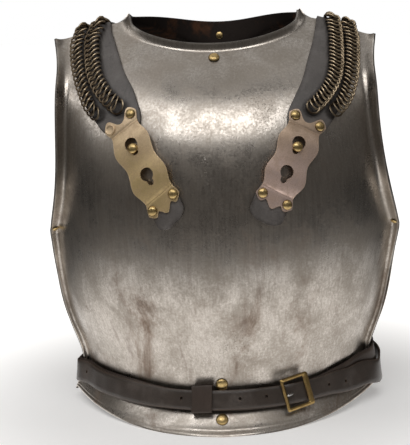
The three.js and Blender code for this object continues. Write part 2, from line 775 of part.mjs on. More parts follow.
function beltInner() {
  const { lie, thick } = INNER_BELT;
  const stations = [
    seated(back, -104, lie, 14),
    seated(back, -126, lie, 14),
    seated(back, -144, lie + 0.3, 13.5, 0.5),
    besideHip(-163.3, 13, 38, -0.85, 0.5, 12),
    besideHip(-167.3, 2, 37, -1, 0.1, 12),
    besideHip(-167, -9, 37, -1, -0.25, 12),
  ];
  for (const x of [-150, -138, -118, -90]) stations.push(seated(breast, x, lie, 12.8, -0.5));
  for (const x of [-55, -20, -9, 20, 60, 90]) stations.push(seated(breast, x, lie, 10.8, -1.5));
  stations.push(seated(breast, 118, lie, 13), seated(breast, 136, lie, 13.5, 3));
  stations.push(seated(breast, 149, lie, 13, 6), besideHip(166.4, -9, 47, 1, -0.25, 13));
  stations.push(besideHip(166.4, 2, 51, 1, 0.1, 13), besideHip(164.3, 13, 51.5, 0.85, 0.5, 12.5));
  stations.push(seated(back, 145, lie + 0.6, 13.5, 12));
  stations.push(seated(back, 124, lie, 13.5, 16), seated(back, 104, lie, 13.5, 17));
  return mesh("belt_inner", bandGeometry(stations, thick, 44), beltHide);
}

// Height of the outer belt's inner face: it climbs over the buckle's middle bar.
function outerLie(x) {
  return OUTER_BELT.lie + 3.6 * Math.exp(-(((x - BUCKLE_X) / 10) ** 2));
}

function holeCutter(x) {
  const radius = Math.abs(x - BUCKLE_X) < 10 ? PRONG_HOLE_RADIUS : BELT_HOLE_RADIUS;
  const cutter = new THREE.CylinderGeometry(radius, radius, 8, 6);
  const seat = waistSeat(breast, x);
  const place = seat.middle.addScaledVector(seat.away, outerLie(x) + OUTER_BELT.thick / 2);
  cutter.applyQuaternion(new THREE.Quaternion().setFromUnitVectors(V(0, 1, 0), seat.away));
  return cutter.translate(place.x, place.y, place.z);
}

function beltOuter() {
  const { lie, thick } = OUTER_BELT;
  const stations = [
    seated(back, -140, lie, 11.5),
    besideHip(-165.7, 14.8, 37, -0.85, 0.5, 11.5),
    besideHip(-170.1, 2, 35.5, -1, 0.1, 11.5),
    besideHip(-169.7, -10, 36, -1, -0.25, 11.5),
  ];
  for (const x of [-150, -138, -118, -90]) stations.push(seated(breast, x, lie + 0.5, 11.2, -0.5));
  for (const x of [-55, -20, 12, 40, 57, 66, 72, 77, 84, 92, 102]) {
    stations.push(seated(breast, x, outerLie(x), 10.3, -1.2));
  }
  stations.push(seated(breast, 118, lie + 0.5, 12, -2.5), seated(breast, 134, lie + 1.3, 12.5, -6));
  stations.push(seated(breast, 149, lie + 3, 13, -9), besideHip(171.5, -12, 29.5, 1, -0.4, 13));
  stations.push(besideHip(173.4, 6, 33, 1, 0.2, 13), besideHip(167.5, 22, 42, 0.8, 0.6, 12.5));
  stations.push(seated(back, 140, lie + 2.4, 12.5, 12));
  stations.push(seated(back, 110, lie + 1, 12.5, 19));
  let solid = toSolid(bandGeometry(stations, thick, 52));
  for (const x of BELT_HOLES) solid = solid.subtract(toSolid(holeCutter(x)));
  return mesh("belt_outer", fromSolid(solid), beltHide);
}

// The rivet that holds the belts' ends to the backplate.
function beltRivet(side, strap) {
  const onLeft = strap.side < 0;
  const seat = waistSeat(back, strap.side * 113, onLeft ? 0 : 18);
  const lie = (onLeft ? INNER_BELT.lie + INNER_BELT.thick : OUTER_BELT.lie + OUTER_BELT.thick + 2) + AIR;
  const place = seat.middle.clone().addScaledVector(seat.away, lie);
  return turned(`belt_rivet_${side}`, domeProfile(5, 3.4), place, seat.away, brass);
}

// A frame whose +X runs along the belt, +Y up it and +Z away from the plate.
function waistFrame(x, height, turn = 0) {
  const seat = waistSeat(breast, x);
  const across = seat.up.clone().cross(seat.away).normalize();
  const matrix = new THREE.Matrix4().makeBasis(across, seat.up, seat.away);
  matrix.multiply(new THREE.Matrix4().makeRotationZ(turn));
  return matrix.setPosition(seat.middle.addScaledVector(seat.away, height));
}

function rectangle(halfWidth, halfHeight, PathClass = THREE.Shape) {
  const path = new PathClass();
  path.moveTo(-halfWidth, -halfHeight);
  path.lineTo(halfWidth, -halfHeight);
  path.lineTo(halfWidth, halfHeight);
  path.lineTo(-halfWidth, halfHeight);
  path.closePath();
  return path;
}

// The sliding loop: seen along the belt it is a closed rectangle round both layers.
function beltKeeper() {
  const slack = 1;
  const low = INNER_BELT.lie - slack - KEEPER_WALL;
  const high = OUTER_BELT.lie + OUTER_BELT.thick + slack + KEEPER_WALL;
  const halfDeep = (high - low) / 2;
  const halfTall = 12 + slack + KEEPER_WALL;
  const shape = rectangle(halfDeep, halfTall);
  shape.holes.push(rectangle(halfDeep - KEEPER_WALL, halfTall - KEEPER_WALL, THREE.Path));
  const loop = new THREE.ExtrudeGeometry(shape, { depth: KEEPER_WIDE, bevelEnabled: false });
  loop.translate(0, 0, -KEEPER_WIDE / 2);
  loop.rotateY(-Math.PI / 2);
  loop.applyMatrix4(waistFrame(KEEPER_MIDDLE, low + halfDeep));
  return mesh("belt_keeper", loop, beltHide);
}

// The frame's outline: a rectangle whose far side bows out.
function buckleOutline(inset, PathClass) {
  const w = BUCKLE_HALF_WIDTH - inset;
  const h = BUCKLE_HALF_HEIGHT - inset;
  const path = new PathClass();
  path.moveTo(-w, -h);
  path.lineTo(w - 2, -h);
  path.quadraticCurveTo(w + 3, 0, w - 2, h);
  path.lineTo(-w, h);
  path.closePath();
  return path;
}

const BUCKLE_LIE = OUTER_BELT.lie + OUTER_BELT.thick + 2.2;

function buckleFrame() {
  const ring = buckleOutline(0, THREE.Shape);
  ring.holes.push(buckleOutline(BUCKLE_BAR, THREE.Path));
  const options = { depth: 2, bevelEnabled: true, bevelSize: 0.7, bevelThickness: 0.7, bevelOffset: -0.7 };
  const frame = new THREE.ExtrudeGeometry(ring, { ...options, bevelSegments: 1, curveSegments: 6 });
  const barLow = INNER_BELT.lie + INNER_BELT.thick + 1 - BUCKLE_LIE;
  const barHigh = 0.9;
  const span = 2 * BUCKLE_HALF_HEIGHT - BUCKLE_BAR;
  const post = new THREE.BoxGeometry(2.4, BUCKLE_BAR - 1.6, barHigh - barLow);
  const bar = new THREE.BoxGeometry(2.4, span, 1.8);
  bar.translate(0, 0, barLow + 0.9);
  let solid = toSolid(frame).add(toSolid(bar));
  for (const end of [-1, 1]) {
    const leg = post.clone().translate(0, (end * span) / 2, (barLow + barHigh) / 2);
    solid = solid.add(toSolid(leg));
  }
  const geometry = fromSolid(solid);
  geometry.applyMatrix4(waistFrame(BUCKLE_X, BUCKLE_LIE, BUCKLE_TURN));
  return mesh("buckle_frame", geometry, brass);
}

function buckleProng() {
  const frame = waistFrame(BUCKLE_X, 0, BUCKLE_TURN);
  const way = [[-5.2, 7.4], [-5.6, 9.4], [-7.4, 12.2], [-10.5, 14.2], [-15.2, 14.2]];
  const route = new LaidRoute(
    way.map(([along, height]) => V(along, 0, height).applyMatrix4(frame)),
    way.map(() => V(0, 1, 0).transformDirection(frame)),
  );
  const shape = ovalSection(1.1, 1.1, 6);
  const rod = new THREE.ExtrudeGeometry(shape, { steps: 8, bevelEnabled: false, extrudePath: route });
  return mesh("buckle_prong", rod, steel);
}

// ---- The cuirass -------------------------------------------------------------------------

const cuirass = new THREE.Group();
cuirass.position.x = -MIDDLE_X;
cuirass.add(mesh("breastplate", plateShell(breast, plateRows(breast, 31), BREAST_WALL), steel));
cuirass.add(mesh("backplate", plateShell(back, plateRows(back, 50), BACK_WALL), steel));

cuirass.add(rivetOn(breast, "neck_rivet", 1.5, 426, 5.9, 3.6, 0.7, brass));
cuirass.add(rivetOn(breast, "waist_rivet_upper", 1, 59, 6.5, 4, 0.9, brass));
cuirass.add(rivetOn(breast, "waist_rivet_lower", 1, 20, 6.5, 4, 0.9, brass));
for (const [side, sign] of [["left", -1], ["right", 1]]) {
  const x = sign * (breast.edge(SIDE_RIVET_AT) - 3.6);
  cuirass.add(rivetOn(breast, `side_rivet_${side}`, x, SIDE_RIVET_AT, 3.4, 2.2, 0.8, brass));
}
cuirass.add(collarRivet());

for (const [side, strap] of Object.entries(STRAPS)) {
  cuirass.add(strapLeather(`strap_leather_${side}`, strap));
  cuirass.add(strapChain(`chain_${side}_inner`, strap, "inner"));
  cuirass.add(strapChain(`chain_${side}_outer`, strap, "outer"));
  cuirass.add(...strapFittings(side, strap), ...strapBackRivets(side, strap), beltRivet(side, strap));
}

cuirass.add(beltInner(), beltOuter(), beltKeeper(), buckleFrame(), buckleProng());

export default cuirass;
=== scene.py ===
import math
import random

import bpy
import numpy as np
from mathutils import Matrix, Vector


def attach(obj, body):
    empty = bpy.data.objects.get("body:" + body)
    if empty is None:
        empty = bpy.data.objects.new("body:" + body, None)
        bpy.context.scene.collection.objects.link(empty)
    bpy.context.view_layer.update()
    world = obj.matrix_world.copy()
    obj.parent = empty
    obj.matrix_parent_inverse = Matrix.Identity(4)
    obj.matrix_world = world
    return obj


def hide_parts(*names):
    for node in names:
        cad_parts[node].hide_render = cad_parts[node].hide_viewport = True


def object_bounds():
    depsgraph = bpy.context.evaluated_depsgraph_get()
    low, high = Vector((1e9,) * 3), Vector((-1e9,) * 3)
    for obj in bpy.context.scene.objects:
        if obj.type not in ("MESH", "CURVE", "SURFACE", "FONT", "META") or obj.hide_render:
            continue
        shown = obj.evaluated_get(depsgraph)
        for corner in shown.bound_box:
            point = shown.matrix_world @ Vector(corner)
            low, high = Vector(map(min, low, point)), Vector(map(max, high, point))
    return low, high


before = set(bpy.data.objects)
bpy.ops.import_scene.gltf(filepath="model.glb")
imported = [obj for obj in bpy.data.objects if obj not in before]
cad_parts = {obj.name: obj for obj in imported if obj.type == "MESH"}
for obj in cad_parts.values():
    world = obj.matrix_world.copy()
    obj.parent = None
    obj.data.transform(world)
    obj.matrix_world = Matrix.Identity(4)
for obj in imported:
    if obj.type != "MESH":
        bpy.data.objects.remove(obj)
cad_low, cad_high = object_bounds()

random.seed(7)
MM = 0.001
BODY = "root"

bpy.ops.object.select_all(action="DESELECT")

# ---- The forms of the cuirass, in millimetres --------------------------------------------

SEAM_Y = 24.85
MIDDLE_X = 3.2
BREAST_WALL = 2.8
BACK_WALL = 1.6
BEND_RADIUS = 2.0
LIP_RADIUS = 1.3
RIM_ROLL = 1.2
RIM_ROLL_AT = 3
BEAD_HEIGHT, BEAD_AT, BEAD_HALF = 0.45, 9, 1.5
RIDGE_WIDTH = 22
ARM_TIP_WIDTH = 6
UNEVEN = 0.08
LIFT_POWER = 2.1
LEVEL_SHARE = 0.3
SECTION = ["out", "up", "edge", "half", "full", "drop", "lift", "band", "sway"]
BREAST_SECTIONS = [
    [145, 0, 172, 171, 1.25, 145, 16, 1, 0],
    [129, 16, 167, 166, 1.3, 129, 10, 2, 0],
    [118, 34, 162, 159, 1.35, 118, 3, 3.5, 0],
    [118, 54, 160.5, 156.5, 1.4, 118, 0, 5, 0],
    [129, 90, 171.5, 167, 1.5, 129, 0, 5.5, 0],
    [144, 150, 184, 179.5, 1.7, 144, 0, 6, 1],
    [149.5, 200, 190, 186, 1.85, 149.5, 0, 7.5, 4],
    [149, 250, 176.5, 188, 2, 149, 0, 8.5, 5],
    [136, 310, 169, 190, 2, 136, 0, 8.5, 2.5],
    [106, 358, 167, 200, 2, 104, -3, 8.5, 1.5],
    [70, 391, 166.5, 212, 2, 62, -12, 8.5, 1],
    [27, 430.2, 170, 222, 2, 8, -27, 8.5, 0],
]
BACK_SECTIONS = [
    [105, 0, 175, 174, 1.6, 107, 9, 1, 0],
    [92, 15, 169, 168, 1.6, 94, 5, 1, 0],
    [78, 34, 163, 162, 1.7, 84, 3, 1, 0],
    [76, 54, 162, 161, 1.75, 85, 0, 1, 0],
    [84, 90, 175, 174, 1.8, 98, 0, 1, 0],
    [98, 150, 188, 187, 1.9, 120, 0, 1, 1],
    [104, 187, 191, 188, 1.95, 134, 0, 3, 2],
    [106, 235, 176, 190, 1.9, 112, 0, 6, 1],
    [104, 310, 162, 192, 2, 104, 0, 7, 0],
    [96, 362, 159, 200, 2, 96, -3, 7, 0],
    [72, 402, 160, 225, 2, 66, -10, 7, 0],
    [22, 424.5, 163, 240, 2, 26, -24, 7, 0],
    [-22, 428.5, 166, 250, 2, 4, -28, 7, 0],
]


class Spline:
    """A natural cubic curve through values at knots, level with its ends outside them."""

    def __init__(self, at, value):
        self.at = np.array(at, float)
        self.value = np.array(value, float)
        n = len(at)
        matrix, right = np.zeros((n, n)), np.zeros(n)
        matrix[0, 0] = matrix[-1, -1] = 1
        step = np.diff(self.at)
        for i in range(1, n - 1):
            matrix[i, i - 1 : i + 2] = step[i - 1], 2 * (step[i - 1] + step[i]), step[i]
            rise = np.diff(self.value[i - 1 : i + 2]) / step[i - 1 : i + 1]
            right[i] = 6 * (rise[1] - rise[0])
        self.bend = np.linalg.solve(matrix, right)

    def __call__(self, t):
        s = np.clip(t, self.at[0], self.at[-1])
        i = np.clip(np.searchsorted(self.at, s, side="right") - 1, 0, len(self.at) - 2)
        step = self.at[i + 1] - self.at[i]
        a = (self.at[i + 1] - s) / step
        b = 1 - a
        curve = (a**3 - a) * self.bend[i] + (b**3 - b) * self.bend[i + 1]
        return a * self.value[i] + b * self.value[i + 1] + curve * step**2 / 6


class Route:
    """A smooth line through points of any dimension, read by the share of its length."""

    def __init__(self, points):
        points = np.array(points, float)
        run = np.concatenate([[0], np.cumsum(np.linalg.norm(np.diff(points, axis=0), axis=1))])
        self.length = run[-1]
        self.columns = [Spline(run / run[-1], points[:, k]) for k in range(points.shape[1])]

    def at(self, share):
        return np.stack([column(share) for column in self.columns], -1)

    def way(self, share):
        ahead = self.at(np.clip(share + 0.002, 0, 1)) - self.at(np.clip(share - 0.002, 0, 1))
        return ahead / np.linalg.norm(ahead, axis=-1, keepdims=True)


def soft_step(value, radius):
    """Zero below zero and the value itself above, with a bend of the radius between."""
    return radius * np.logaddexp(0, value / radius)


def unit(vectors):
    return vectors / np.linalg.norm(vectors, axis=-1, keepdims=True)


class Plate:
    """The outer face of a plate: x across, t along its middle line from the floor."""

    def __init__(
        self, sections, corner, facing, neck_half, neck_out, lips, lean, stand, flare, ridge, peaks
    ):
        table = np.array(sections, float)
        run = np.hypot(np.diff(table[:, 0]), np.diff(table[:, 1]))
        along = np.concatenate([[0], np.cumsum(run)])
        self.column = {name: Spline(along, table[:, k]) for k, name in enumerate(SECTION)}
        self.side_edge = Spline(along[: corner + 1], table[: corner + 1, 2])
        self.arm_edge = Spline(along[corner:], table[corner:, 2])
        self.corner_at, self.top = along[corner], along[-1]
        self.facing, self.neck_half = facing, neck_half
        self.lips, self.lean, self.stand, self.flare, self.ridge = lips, lean, stand, flare, ridge
        self.peaks = peaks
        self.lip_rise = 2 if facing < 0 else 4
        line = np.arange(self.top, 0, -0.25)
        self.neck_at = line[np.argmax(self.column["out"](line) >= neck_out)]

    def edge(self, t):
        return np.where(t < self.corner_at, self.side_edge(t), self.arm_edge(t))

    def fold(self, t):
        return self.edge(t) - self.column["band"](t)

    def neck_edge(self, x):
        share = np.minimum(1, np.abs(x) / self.neck_half)
        return self.top - (self.top - self.neck_at) * np.sqrt(1 - share**2)

    def neck_distance(self, x, t):
        wide, deep = self.neck_half, self.top - self.neck_at
        down = self.top - t
        radius = np.hypot(x / wide, down / deep) + 1e-9
        return (radius - 1) * radius / (np.hypot(x / wide**2, down / deep**2) + 1e-12)

    def point(self, x, t):
        column = self.column
        away = np.abs(x)
        border = soft_step(away - self.fold(t), BEND_RADIUS)
        middle = np.sqrt(1 - np.minimum(1, away / self.neck_half) ** 2)
        lip_width = self.lips[0] + (self.lips[1] - self.lips[0]) * middle**self.lip_rise
        lip = soft_step(lip_width - self.neck_distance(away, t), LIP_RADIUS)
        s = t - lip
        inside = away - border
        full = np.minimum(0.9999, inside / column["half"](s))
        rounded = (1 - full**2) ** (1 / column["full"](s))
        roll = RIM_ROLL * np.exp(-(((t - RIM_ROLL_AT) / RIM_ROLL_AT) ** 2))
        ridge = self.ridge * np.exp(-inside / RIDGE_WIDTH)
        reach = column["out"](s) - column["drop"](s) * (1 - rounded) + ridge
        bead = BEAD_HEIGHT * np.exp(-(((t - BEAD_AT) / BEAD_HALF) ** 2)) if self.facing < 0 else 0
        side = np.maximum(0, (away / self.edge(t) - LEVEL_SHARE) / (1 - LEVEL_SHARE))
        from_top = self.top - t
        neck_tip = self.peaks[0] * np.exp(-np.hypot(away - self.neck_half, from_top) / self.peaks[1])
        arm_tip = self.peaks[2] * np.exp(-np.hypot(away - self.edge(t), from_top) / ARM_TIP_WIDTH)
        uneven = 1 + UNEVEN * x / self.edge(t)
        height = column["up"](s) + column["lift"](s) * side**LIFT_POWER * uneven + self.stand * lip
        return np.stack(
            [
                x + column["sway"](t) * (away / self.edge(t)) ** 3,
                SEAM_Y + self.facing * (reach + roll + bead + self.flare * border + self.lean * lip),
                height + neck_tip + arm_tip,
            ],
            -1,
        )

    def normal(self, x, t):
        step = 0.05
        across = self.point(x + step, t) - self.point(x - step, t)
        along = self.point(x, t + step) - self.point(x, t - step)
        return -self.facing * unit(np.cross(across, along))

    def raised(self, x, t, height):
        return self.point(x, t) + self.normal(x, t) * np.asarray(height, float)[..., None]


breast = Plate(BREAST_SECTIONS, 6, -1, 91, 61, (5, 6), 0.15, 1.35, 1.2, 2, (3.5, 3, 6))
back = Plate(BACK_SECTIONS, 6, 1, 93, 66, (3.5, 23.5), 0.12, 1.25, 0.6, 0, (6, 12, 4))


# ---- Small tools of the workshop ---------------------------------------------------------


def placed(points):
    """Millimetres of the source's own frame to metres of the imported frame."""
    return (np.asarray(points, float) - [MIDDLE_X, 0, 0]) * MM


def take(piece):
    """Makes one piece the active and only selected one."""
    bpy.ops.object.select_all(action="DESELECT")
    piece.select_set(True)
    bpy.context.view_layer.objects.active = piece
    return piece


def edit(piece, *steps):
    """Runs edit mode steps on the whole of a piece."""
    take(piece)
    bpy.ops.object.mode_set(mode="EDIT")
    bpy.ops.mesh.select_all(action="SELECT")
    for step in steps:
        step()
    bpy.ops.object.mode_set(mode="OBJECT")
    return piece


def merge(distance=1e-6):
    return lambda: bpy.ops.mesh.remove_doubles(threshold=distance)


def face_out():
    bpy.ops.mesh.normals_make_consistent(inside=False)


def finish_with(piece, kind, **settings):
    """Adds a modifier, and applies it."""
    take(piece)
    modifier = piece.modifiers.new(kind.lower(), kind)
    for key, value in settings.items():
        setattr(modifier, key, value)
    bpy.ops.object.modifier_apply(modifier=modifier.name)
    return piece


def smooth(piece, degrees=40):
    take(piece)
    bpy.ops.object.shade_smooth_by_angle(angle=math.radians(degrees))
    return piece


def sheet(name, points, wrap=False, caps=False):
    """A grid of quads shaped to rows of points; a wrapped one is closed into a tube."""
    rows, columns = points.shape[:2]
    if wrap:
        points = np.concatenate([points, points[:, :1]], 1)
        columns += 1
    bpy.ops.object.select_all(action="DESELECT")
    bpy.ops.mesh.primitive_grid_add(
        x_subdivisions=columns - 1, y_subdivisions=rows - 1, size=1, calc_uvs=False
    )
    piece = bpy.context.object
    piece.name = piece.data.name = name
    if len(piece.data.vertices) != rows * columns:
        raise RuntimeError(f"{name}: {len(piece.data.vertices)} corners for {rows} x {columns}")
    piece.data.vertices.foreach_set("co", placed(points).astype(np.float32).ravel())
    piece.data.update()
    if wrap:
        steps = [merge()]
        if caps:
            steps.append(close_ends)
        edit(piece, *steps, face_out)
    return piece


def close_ends():
    bpy.ops.mesh.select_all(action="DESELECT")
    bpy.ops.mesh.select_non_manifold()
    bpy.ops.mesh.fill_holes(sides=0)
    bpy.ops.mesh.select_all(action="SELECT")


def facing(piece, way):
    """Turns a sheet's faces towards a direction if they point the other way."""
    faces = piece.data.polygons
    total = sum((f.normal * f.area for f in faces), Vector())
    if total.dot(Vector(way)) < 0:
        edit(piece, bpy.ops.mesh.flip_normals)
    return piece


def hand_over(piece, material, slot, *nodes):
    """Dresses a finished piece, hangs it on the body and hides the nodes it stands for."""
    piece.data.materials.clear()
    piece.data.materials.append(material)
    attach(piece, BODY)
    if nodes:
        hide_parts(*nodes)
    return piece


def mark(piece, name, values):
    """Keeps one number per corner of a mesh for its material to read."""
    attribute = piece.data.attributes.new(name, "FLOAT", "POINT")
    attribute.data.foreach_set("value", np.asarray(values, np.float32).ravel())


def ripple(x, y, seed, size):
    """A soft irregular wave from -1 to 1, the same each run."""
    draw = np.random.default_rng(seed)
    total = 0
    for k in range(6):
        angle, phase = draw.uniform(0, 2 * math.pi, 2)
        wave = 2 * math.pi / (size * draw.uniform(0.6, 1.7))
        total = total + np.sin(wave * (x * math.cos(angle) + y * math.sin(angle)) + phase)
    return total / 6


# ---- Materials ---------------------------------------------------------------------------


class Tree:
    """Adds nodes to a node tree by kind, with inputs given as numbers or as other sockets."""

    def __init__(self, tree):
        self.tree = tree

    def add(self, kind, inputs=None, out=0, **settings):
        node = self.tree.nodes.new("ShaderNode" + kind)
        for key, value in settings.items():
            setattr(node, key, value)
        for key, value in (inputs or {}).items():
            self.feed(node.inputs[key], value)
        return node.outputs[out]

    def feed(self, socket, value):
        if isinstance(value, bpy.types.NodeSocket):
            self.tree.links.new(value, socket)
        else:
            socket.default_value = value

    def math(self, operation, a, b=0.0, clamp=False):
        return self.add("Math", {0: a, 1: b}, operation=operation, use_clamp=clamp)

    def between(self, value, low, high, to_low=0.0, to_high=1.0):
        """A value's place between two limits, eased, on another range."""
        inputs = {"Value": value, "From Min": low, "From Max": high, "To Min": to_low, "To Max": to_high}
        return self.add("MapRange", inputs, interpolation_type="SMOOTHSTEP")

    def noise(self, place, scale, detail=4.0, rough=0.55, twist=0.0):
        inputs = {"Vector": place, "Scale": scale, "Detail": detail, "Roughness": rough, "Distortion": twist}
        return self.add("TexNoise", inputs)

    def stretched(self, place, scale):
        return self.add("Mapping", {"Vector": place, "Scale": scale})

    def blend(self, amount, a, b, mode="MIX"):
        node = self.tree.nodes.new("ShaderNodeMix")
        node.data_type, node.blend_type = "RGBA", mode
        for key, value in (("Factor_Float", amount), ("A_Color", a), ("B_Color", b)):
            self.feed(next(s for s in node.inputs if s.identifier == key), value)
        return next(s for s in node.outputs if s.identifier == "Result_Color")

    def attribute(self, name):
        return self.add("Attribute", out="Fac", attribute_name=name)


def rgb(red, green, blue):
    return (red, green, blue, 1.0)


def effect(name, inputs, outputs):
    """A shader node group with named inputs and outputs."""
    tree = bpy.data.node_groups.new(name, "ShaderNodeTree")
    for label, kind, value in inputs:
        socket = tree.interface.new_socket(label, in_out="INPUT", socket_type="NodeSocket" + kind)
        if value is not None:
            socket.default_value = value
    for label, kind in outputs:
        tree.interface.new_socket(label, in_out="OUTPUT", socket_type="NodeSocket" + kind)
    start = tree.nodes.new("NodeGroupInput").outputs
    end = tree.nodes.new("NodeGroupOutput").inputs
    return tree, Tree(tree), start, end


def place_effect(tree, group, inputs):
    node = tree.tree.nodes.new("ShaderNodeGroup")
    node.node_tree = group
    for key, value in inputs.items():
        tree.feed(node.inputs[key], value)
    return node.outputs


def make_mottle():
    """Cloudy tarnish: a soft cloud, a finer speckle, and both as one mask."""
    group, t, start, end = effect(
        "tarnish_mottle",
        [("Place", "Vector", None), ("Cloud Scale", "Float", 40.0), ("Speckle Scale", "Float", 400.0)],
        [("Cloud", "Float"), ("Speckle", "Float"), ("Mask", "Float")],
    )
    cloud = t.noise(start["Place"], start["Cloud Scale"], 5.0, 0.6, 0.4)
    speckle = t.noise(start["Place"], start["Speckle Scale"], 3.0, 0.65)
    both = t.math("ADD", t.math("MULTIPLY", cloud, 0.6), t.math("MULTIPLY", speckle, 0.4))
    mask = t.between(both, 0.38, 0.62)
    for label, value in (("Cloud", cloud), ("Speckle", speckle), ("Mask", mask)):
        t.feed(end[label], value)
    return group


def make_pits():
    """Small sharp pits that lie in patches: a mask of them, and a height."""
    group, t, start, end = effect(
        "rust_pits",
        [
            ("Place", "Vector", None), ("Scale", "Float", 420.0), ("Patch Scale", "Float", 22.0),
            ("Share", "Float", 0.5),
        ],
        [("Mask", "Float"), ("Height", "Float")],
    )
    cells = t.add("TexVoronoi", {"Vector": start["Place"], "Scale": start["Scale"]}, out="Distance")
    spots = t.between(cells, 0.32, 0.12)
    patch = t.noise(start["Place"], start["Patch Scale"], 3.0, 0.6)
    wanted = t.between(patch, t.math("SUBTRACT", 0.78, t.math("MULTIPLY", start["Share"], 0.4)), 0.82)
    mask = t.math("MULTIPLY", spots, wanted)
    t.feed(end["Mask"], mask)
    t.feed(end["Height"], t.math("MULTIPLY", mask, -1.0))
    return group


def make_scratches():
    """Fine scratches along one way, broken up so that none runs for long."""
    group, t, start, end = effect(
        "fine_scratches",
        [("Place", "Vector", None), ("Stretch", "Vector", (600.0, 600.0, 18.0)), ("Breaks", "Float", 30.0)],
        [("Streaks", "Float"), ("Scratches", "Float")],
    )
    along = t.stretched(start["Place"], start["Stretch"])
    streaks = t.noise(along, 1.0, 3.0, 0.6)
    gaps = t.between(t.noise(start["Place"], start["Breaks"], 2.0), 0.5, 0.65)
    lines = t.math("MULTIPLY", t.between(streaks, 0.64, 0.74), gaps)
    t.feed(end["Streaks"], streaks)
    t.feed(end["Scratches"], lines)
    return group


def make_rub():
    """Where handling wears a border or a crown bright, from a distance or a mask of the piece."""
    group, t, start, end = effect(
        "edge_rub",
        [
            ("Distance", "Float", 0.0), ("Width", "Float", 2.0), ("Place", "Vector", None),
            ("Breaks", "Float", 120.0),
        ],
        [("Mask", "Float")],
    )
    near = t.math("SUBTRACT", 1.0, t.math("DIVIDE", start["Distance"], start["Width"]), clamp=True)
    broken = t.between(t.noise(start["Place"], start["Breaks"], 3.0), 0.3, 0.6)
    share = t.math("ADD", 0.35, t.math("MULTIPLY", broken, 0.65))
    t.feed(end["Mask"], t.math("MULTIPLY", near, share, clamp=True))
    return group


def make_grain():
    """Leather: a pebbled height, its wrinkles, and how worn the surface is."""
    group, t, start, end = effect(
        "leather_grain",
        [("Place", "Vector", None), ("Pebble Scale", "Float", 700.0), ("Wrinkle Scale", "Float", 60.0)],
        [("Height", "Float"), ("Wrinkles", "Float"), ("Worn", "Float")],
    )
    pebble = t.add("TexVoronoi", {"Vector": start["Place"], "Scale": start["Pebble Scale"]}, out="Distance")
    wrinkles = t.noise(start["Place"], start["Wrinkle Scale"], 6.0, 0.65, 1.2)
    worn = t.between(t.noise(start["Place"], 34.0, 5.0, 0.65), 0.45, 0.68)
    t.feed(end["Height"], t.math("ADD", t.math("MULTIPLY", pebble, 0.5), t.math("MULTIPLY", wrinkles, 0.7)))
    t.feed(end["Wrinkles"], wrinkles)
    t.feed(end["Worn"], worn)
    return group


mottle, pits, scratches, rub, grain = (
    make_mottle(), make_pits(), make_scratches(), make_rub(), make_grain()
)


def material(name, metallic):
    made = bpy.data.materials.new(name)
    made.use_nodes = True
    shader = made.node_tree.nodes["Principled BSDF"]
    shader.inputs["Metallic"].default_value = metallic
    tree = Tree(made.node_tree)
    place = tree.add("TexCoord", out="Object")
    return made, shader.inputs, tree, place


LEATHER_GRAIN = 0.00025


def dent(tree, height, distance, strength=1.0, onto=None):
    inputs = {"Height": height, "Distance": distance, "Strength": strength}
    if onto is not None:
        inputs["Normal"] = onto
    return tree.add("Bump", inputs)


def plate_steel(name, bright=1.0, stained=1.0):
    """Old polished steel: grey with a brown tarnish, brushed up and down, pitted low down."""
    made, shader, t, place = material(name, 1.0)
    z = t.add("SeparateXYZ", {0: place}, out="Z")
    spots = place_effect(t, mottle, {"Place": place, "Cloud Scale": 26.0, "Speckle Scale": 420.0})
    lines = place_effect(t, scratches, {"Place": place, "Stretch": (520.0, 520.0, 14.0), "Breaks": 24.0})
    rust = place_effect(t, pits, {"Place": place, "Scale": 430.0, "Patch Scale": 16.0, "Share": 0.62})
    edge = place_effect(
        t, rub, {"Distance": t.attribute("from_edge"), "Width": 1.5, "Place": place, "Breaks": 90.0}
    )
    inside = t.attribute("inside")

    low = t.between(z, 0.31, 0.10)
    stain_place = t.stretched(place, (1.0, 1.0, 0.55))
    stain = t.between(t.noise(stain_place, 19.0, 7.0, 0.7, 0.8), 0.50, 0.72)
    stain = t.math("MULTIPLY", stain, t.math("ADD", 0.18, t.math("MULTIPLY", low, 0.8 * stained)))
    runs = t.between(t.noise(t.stretched(place, (85.0, 85.0, 7.0)), 1.0, 4.0, 0.6), 0.55, 0.75)
    runs = t.math("MULTIPLY", runs, t.math("MULTIPLY", low, 0.45 * stained))

    clean = t.blend(spots["Mask"], rgb(0.56 * bright, 0.515 * bright, 0.465 * bright), rgb(0.37, 0.33, 0.285))
    brushed = t.blend(t.between(lines["Streaks"], 0.35, 0.65, 0.0, 0.4), clean, rgb(0.29, 0.25, 0.215))
    brown = t.blend(stain, brushed, rgb(0.235, 0.175, 0.135))
    brown = t.blend(runs, brown, rgb(0.21, 0.165, 0.14))
    pitted = t.blend(t.math("MULTIPLY", rust["Mask"], 0.85), brown, rgb(0.045, 0.032, 0.026))
    shown = t.blend(t.math("MULTIPLY", edge["Mask"], 0.7), pitted, rgb(0.92, 0.87, 0.80))
    hidden = t.blend(
        t.between(t.noise(place, 26.0, 5.0, 0.65), 0.52, 0.70),
        rgb(0.045, 0.036, 0.032),
        rgb(0.15, 0.075, 0.045),
    )
    t.feed(shader["Base Color"], t.blend(inside, shown, hidden))

    rough = t.between(spots["Mask"], 0.0, 1.0, 0.27, 0.42)
    rough = t.math("ADD", rough, t.math("MULTIPLY", t.math("ADD", stain, rust["Mask"]), 0.2))
    rough = t.math("ADD", rough, t.math("MULTIPLY", inside, 0.3), clamp=True)
    t.feed(shader["Roughness"], rough)
    shader["Anisotropic"].default_value = 0.25

    wave = dent(t, t.noise(place, 13.0, 2.0, 0.4), 0.0011)
    brush = dent(t, lines["Streaks"], 0.00003, onto=wave)
    fine = dent(t, spots["Speckle"], 0.00006, onto=brush)
    t.feed(shader["Normal"], dent(t, rust["Height"], 0.0002, onto=fine))
    return made


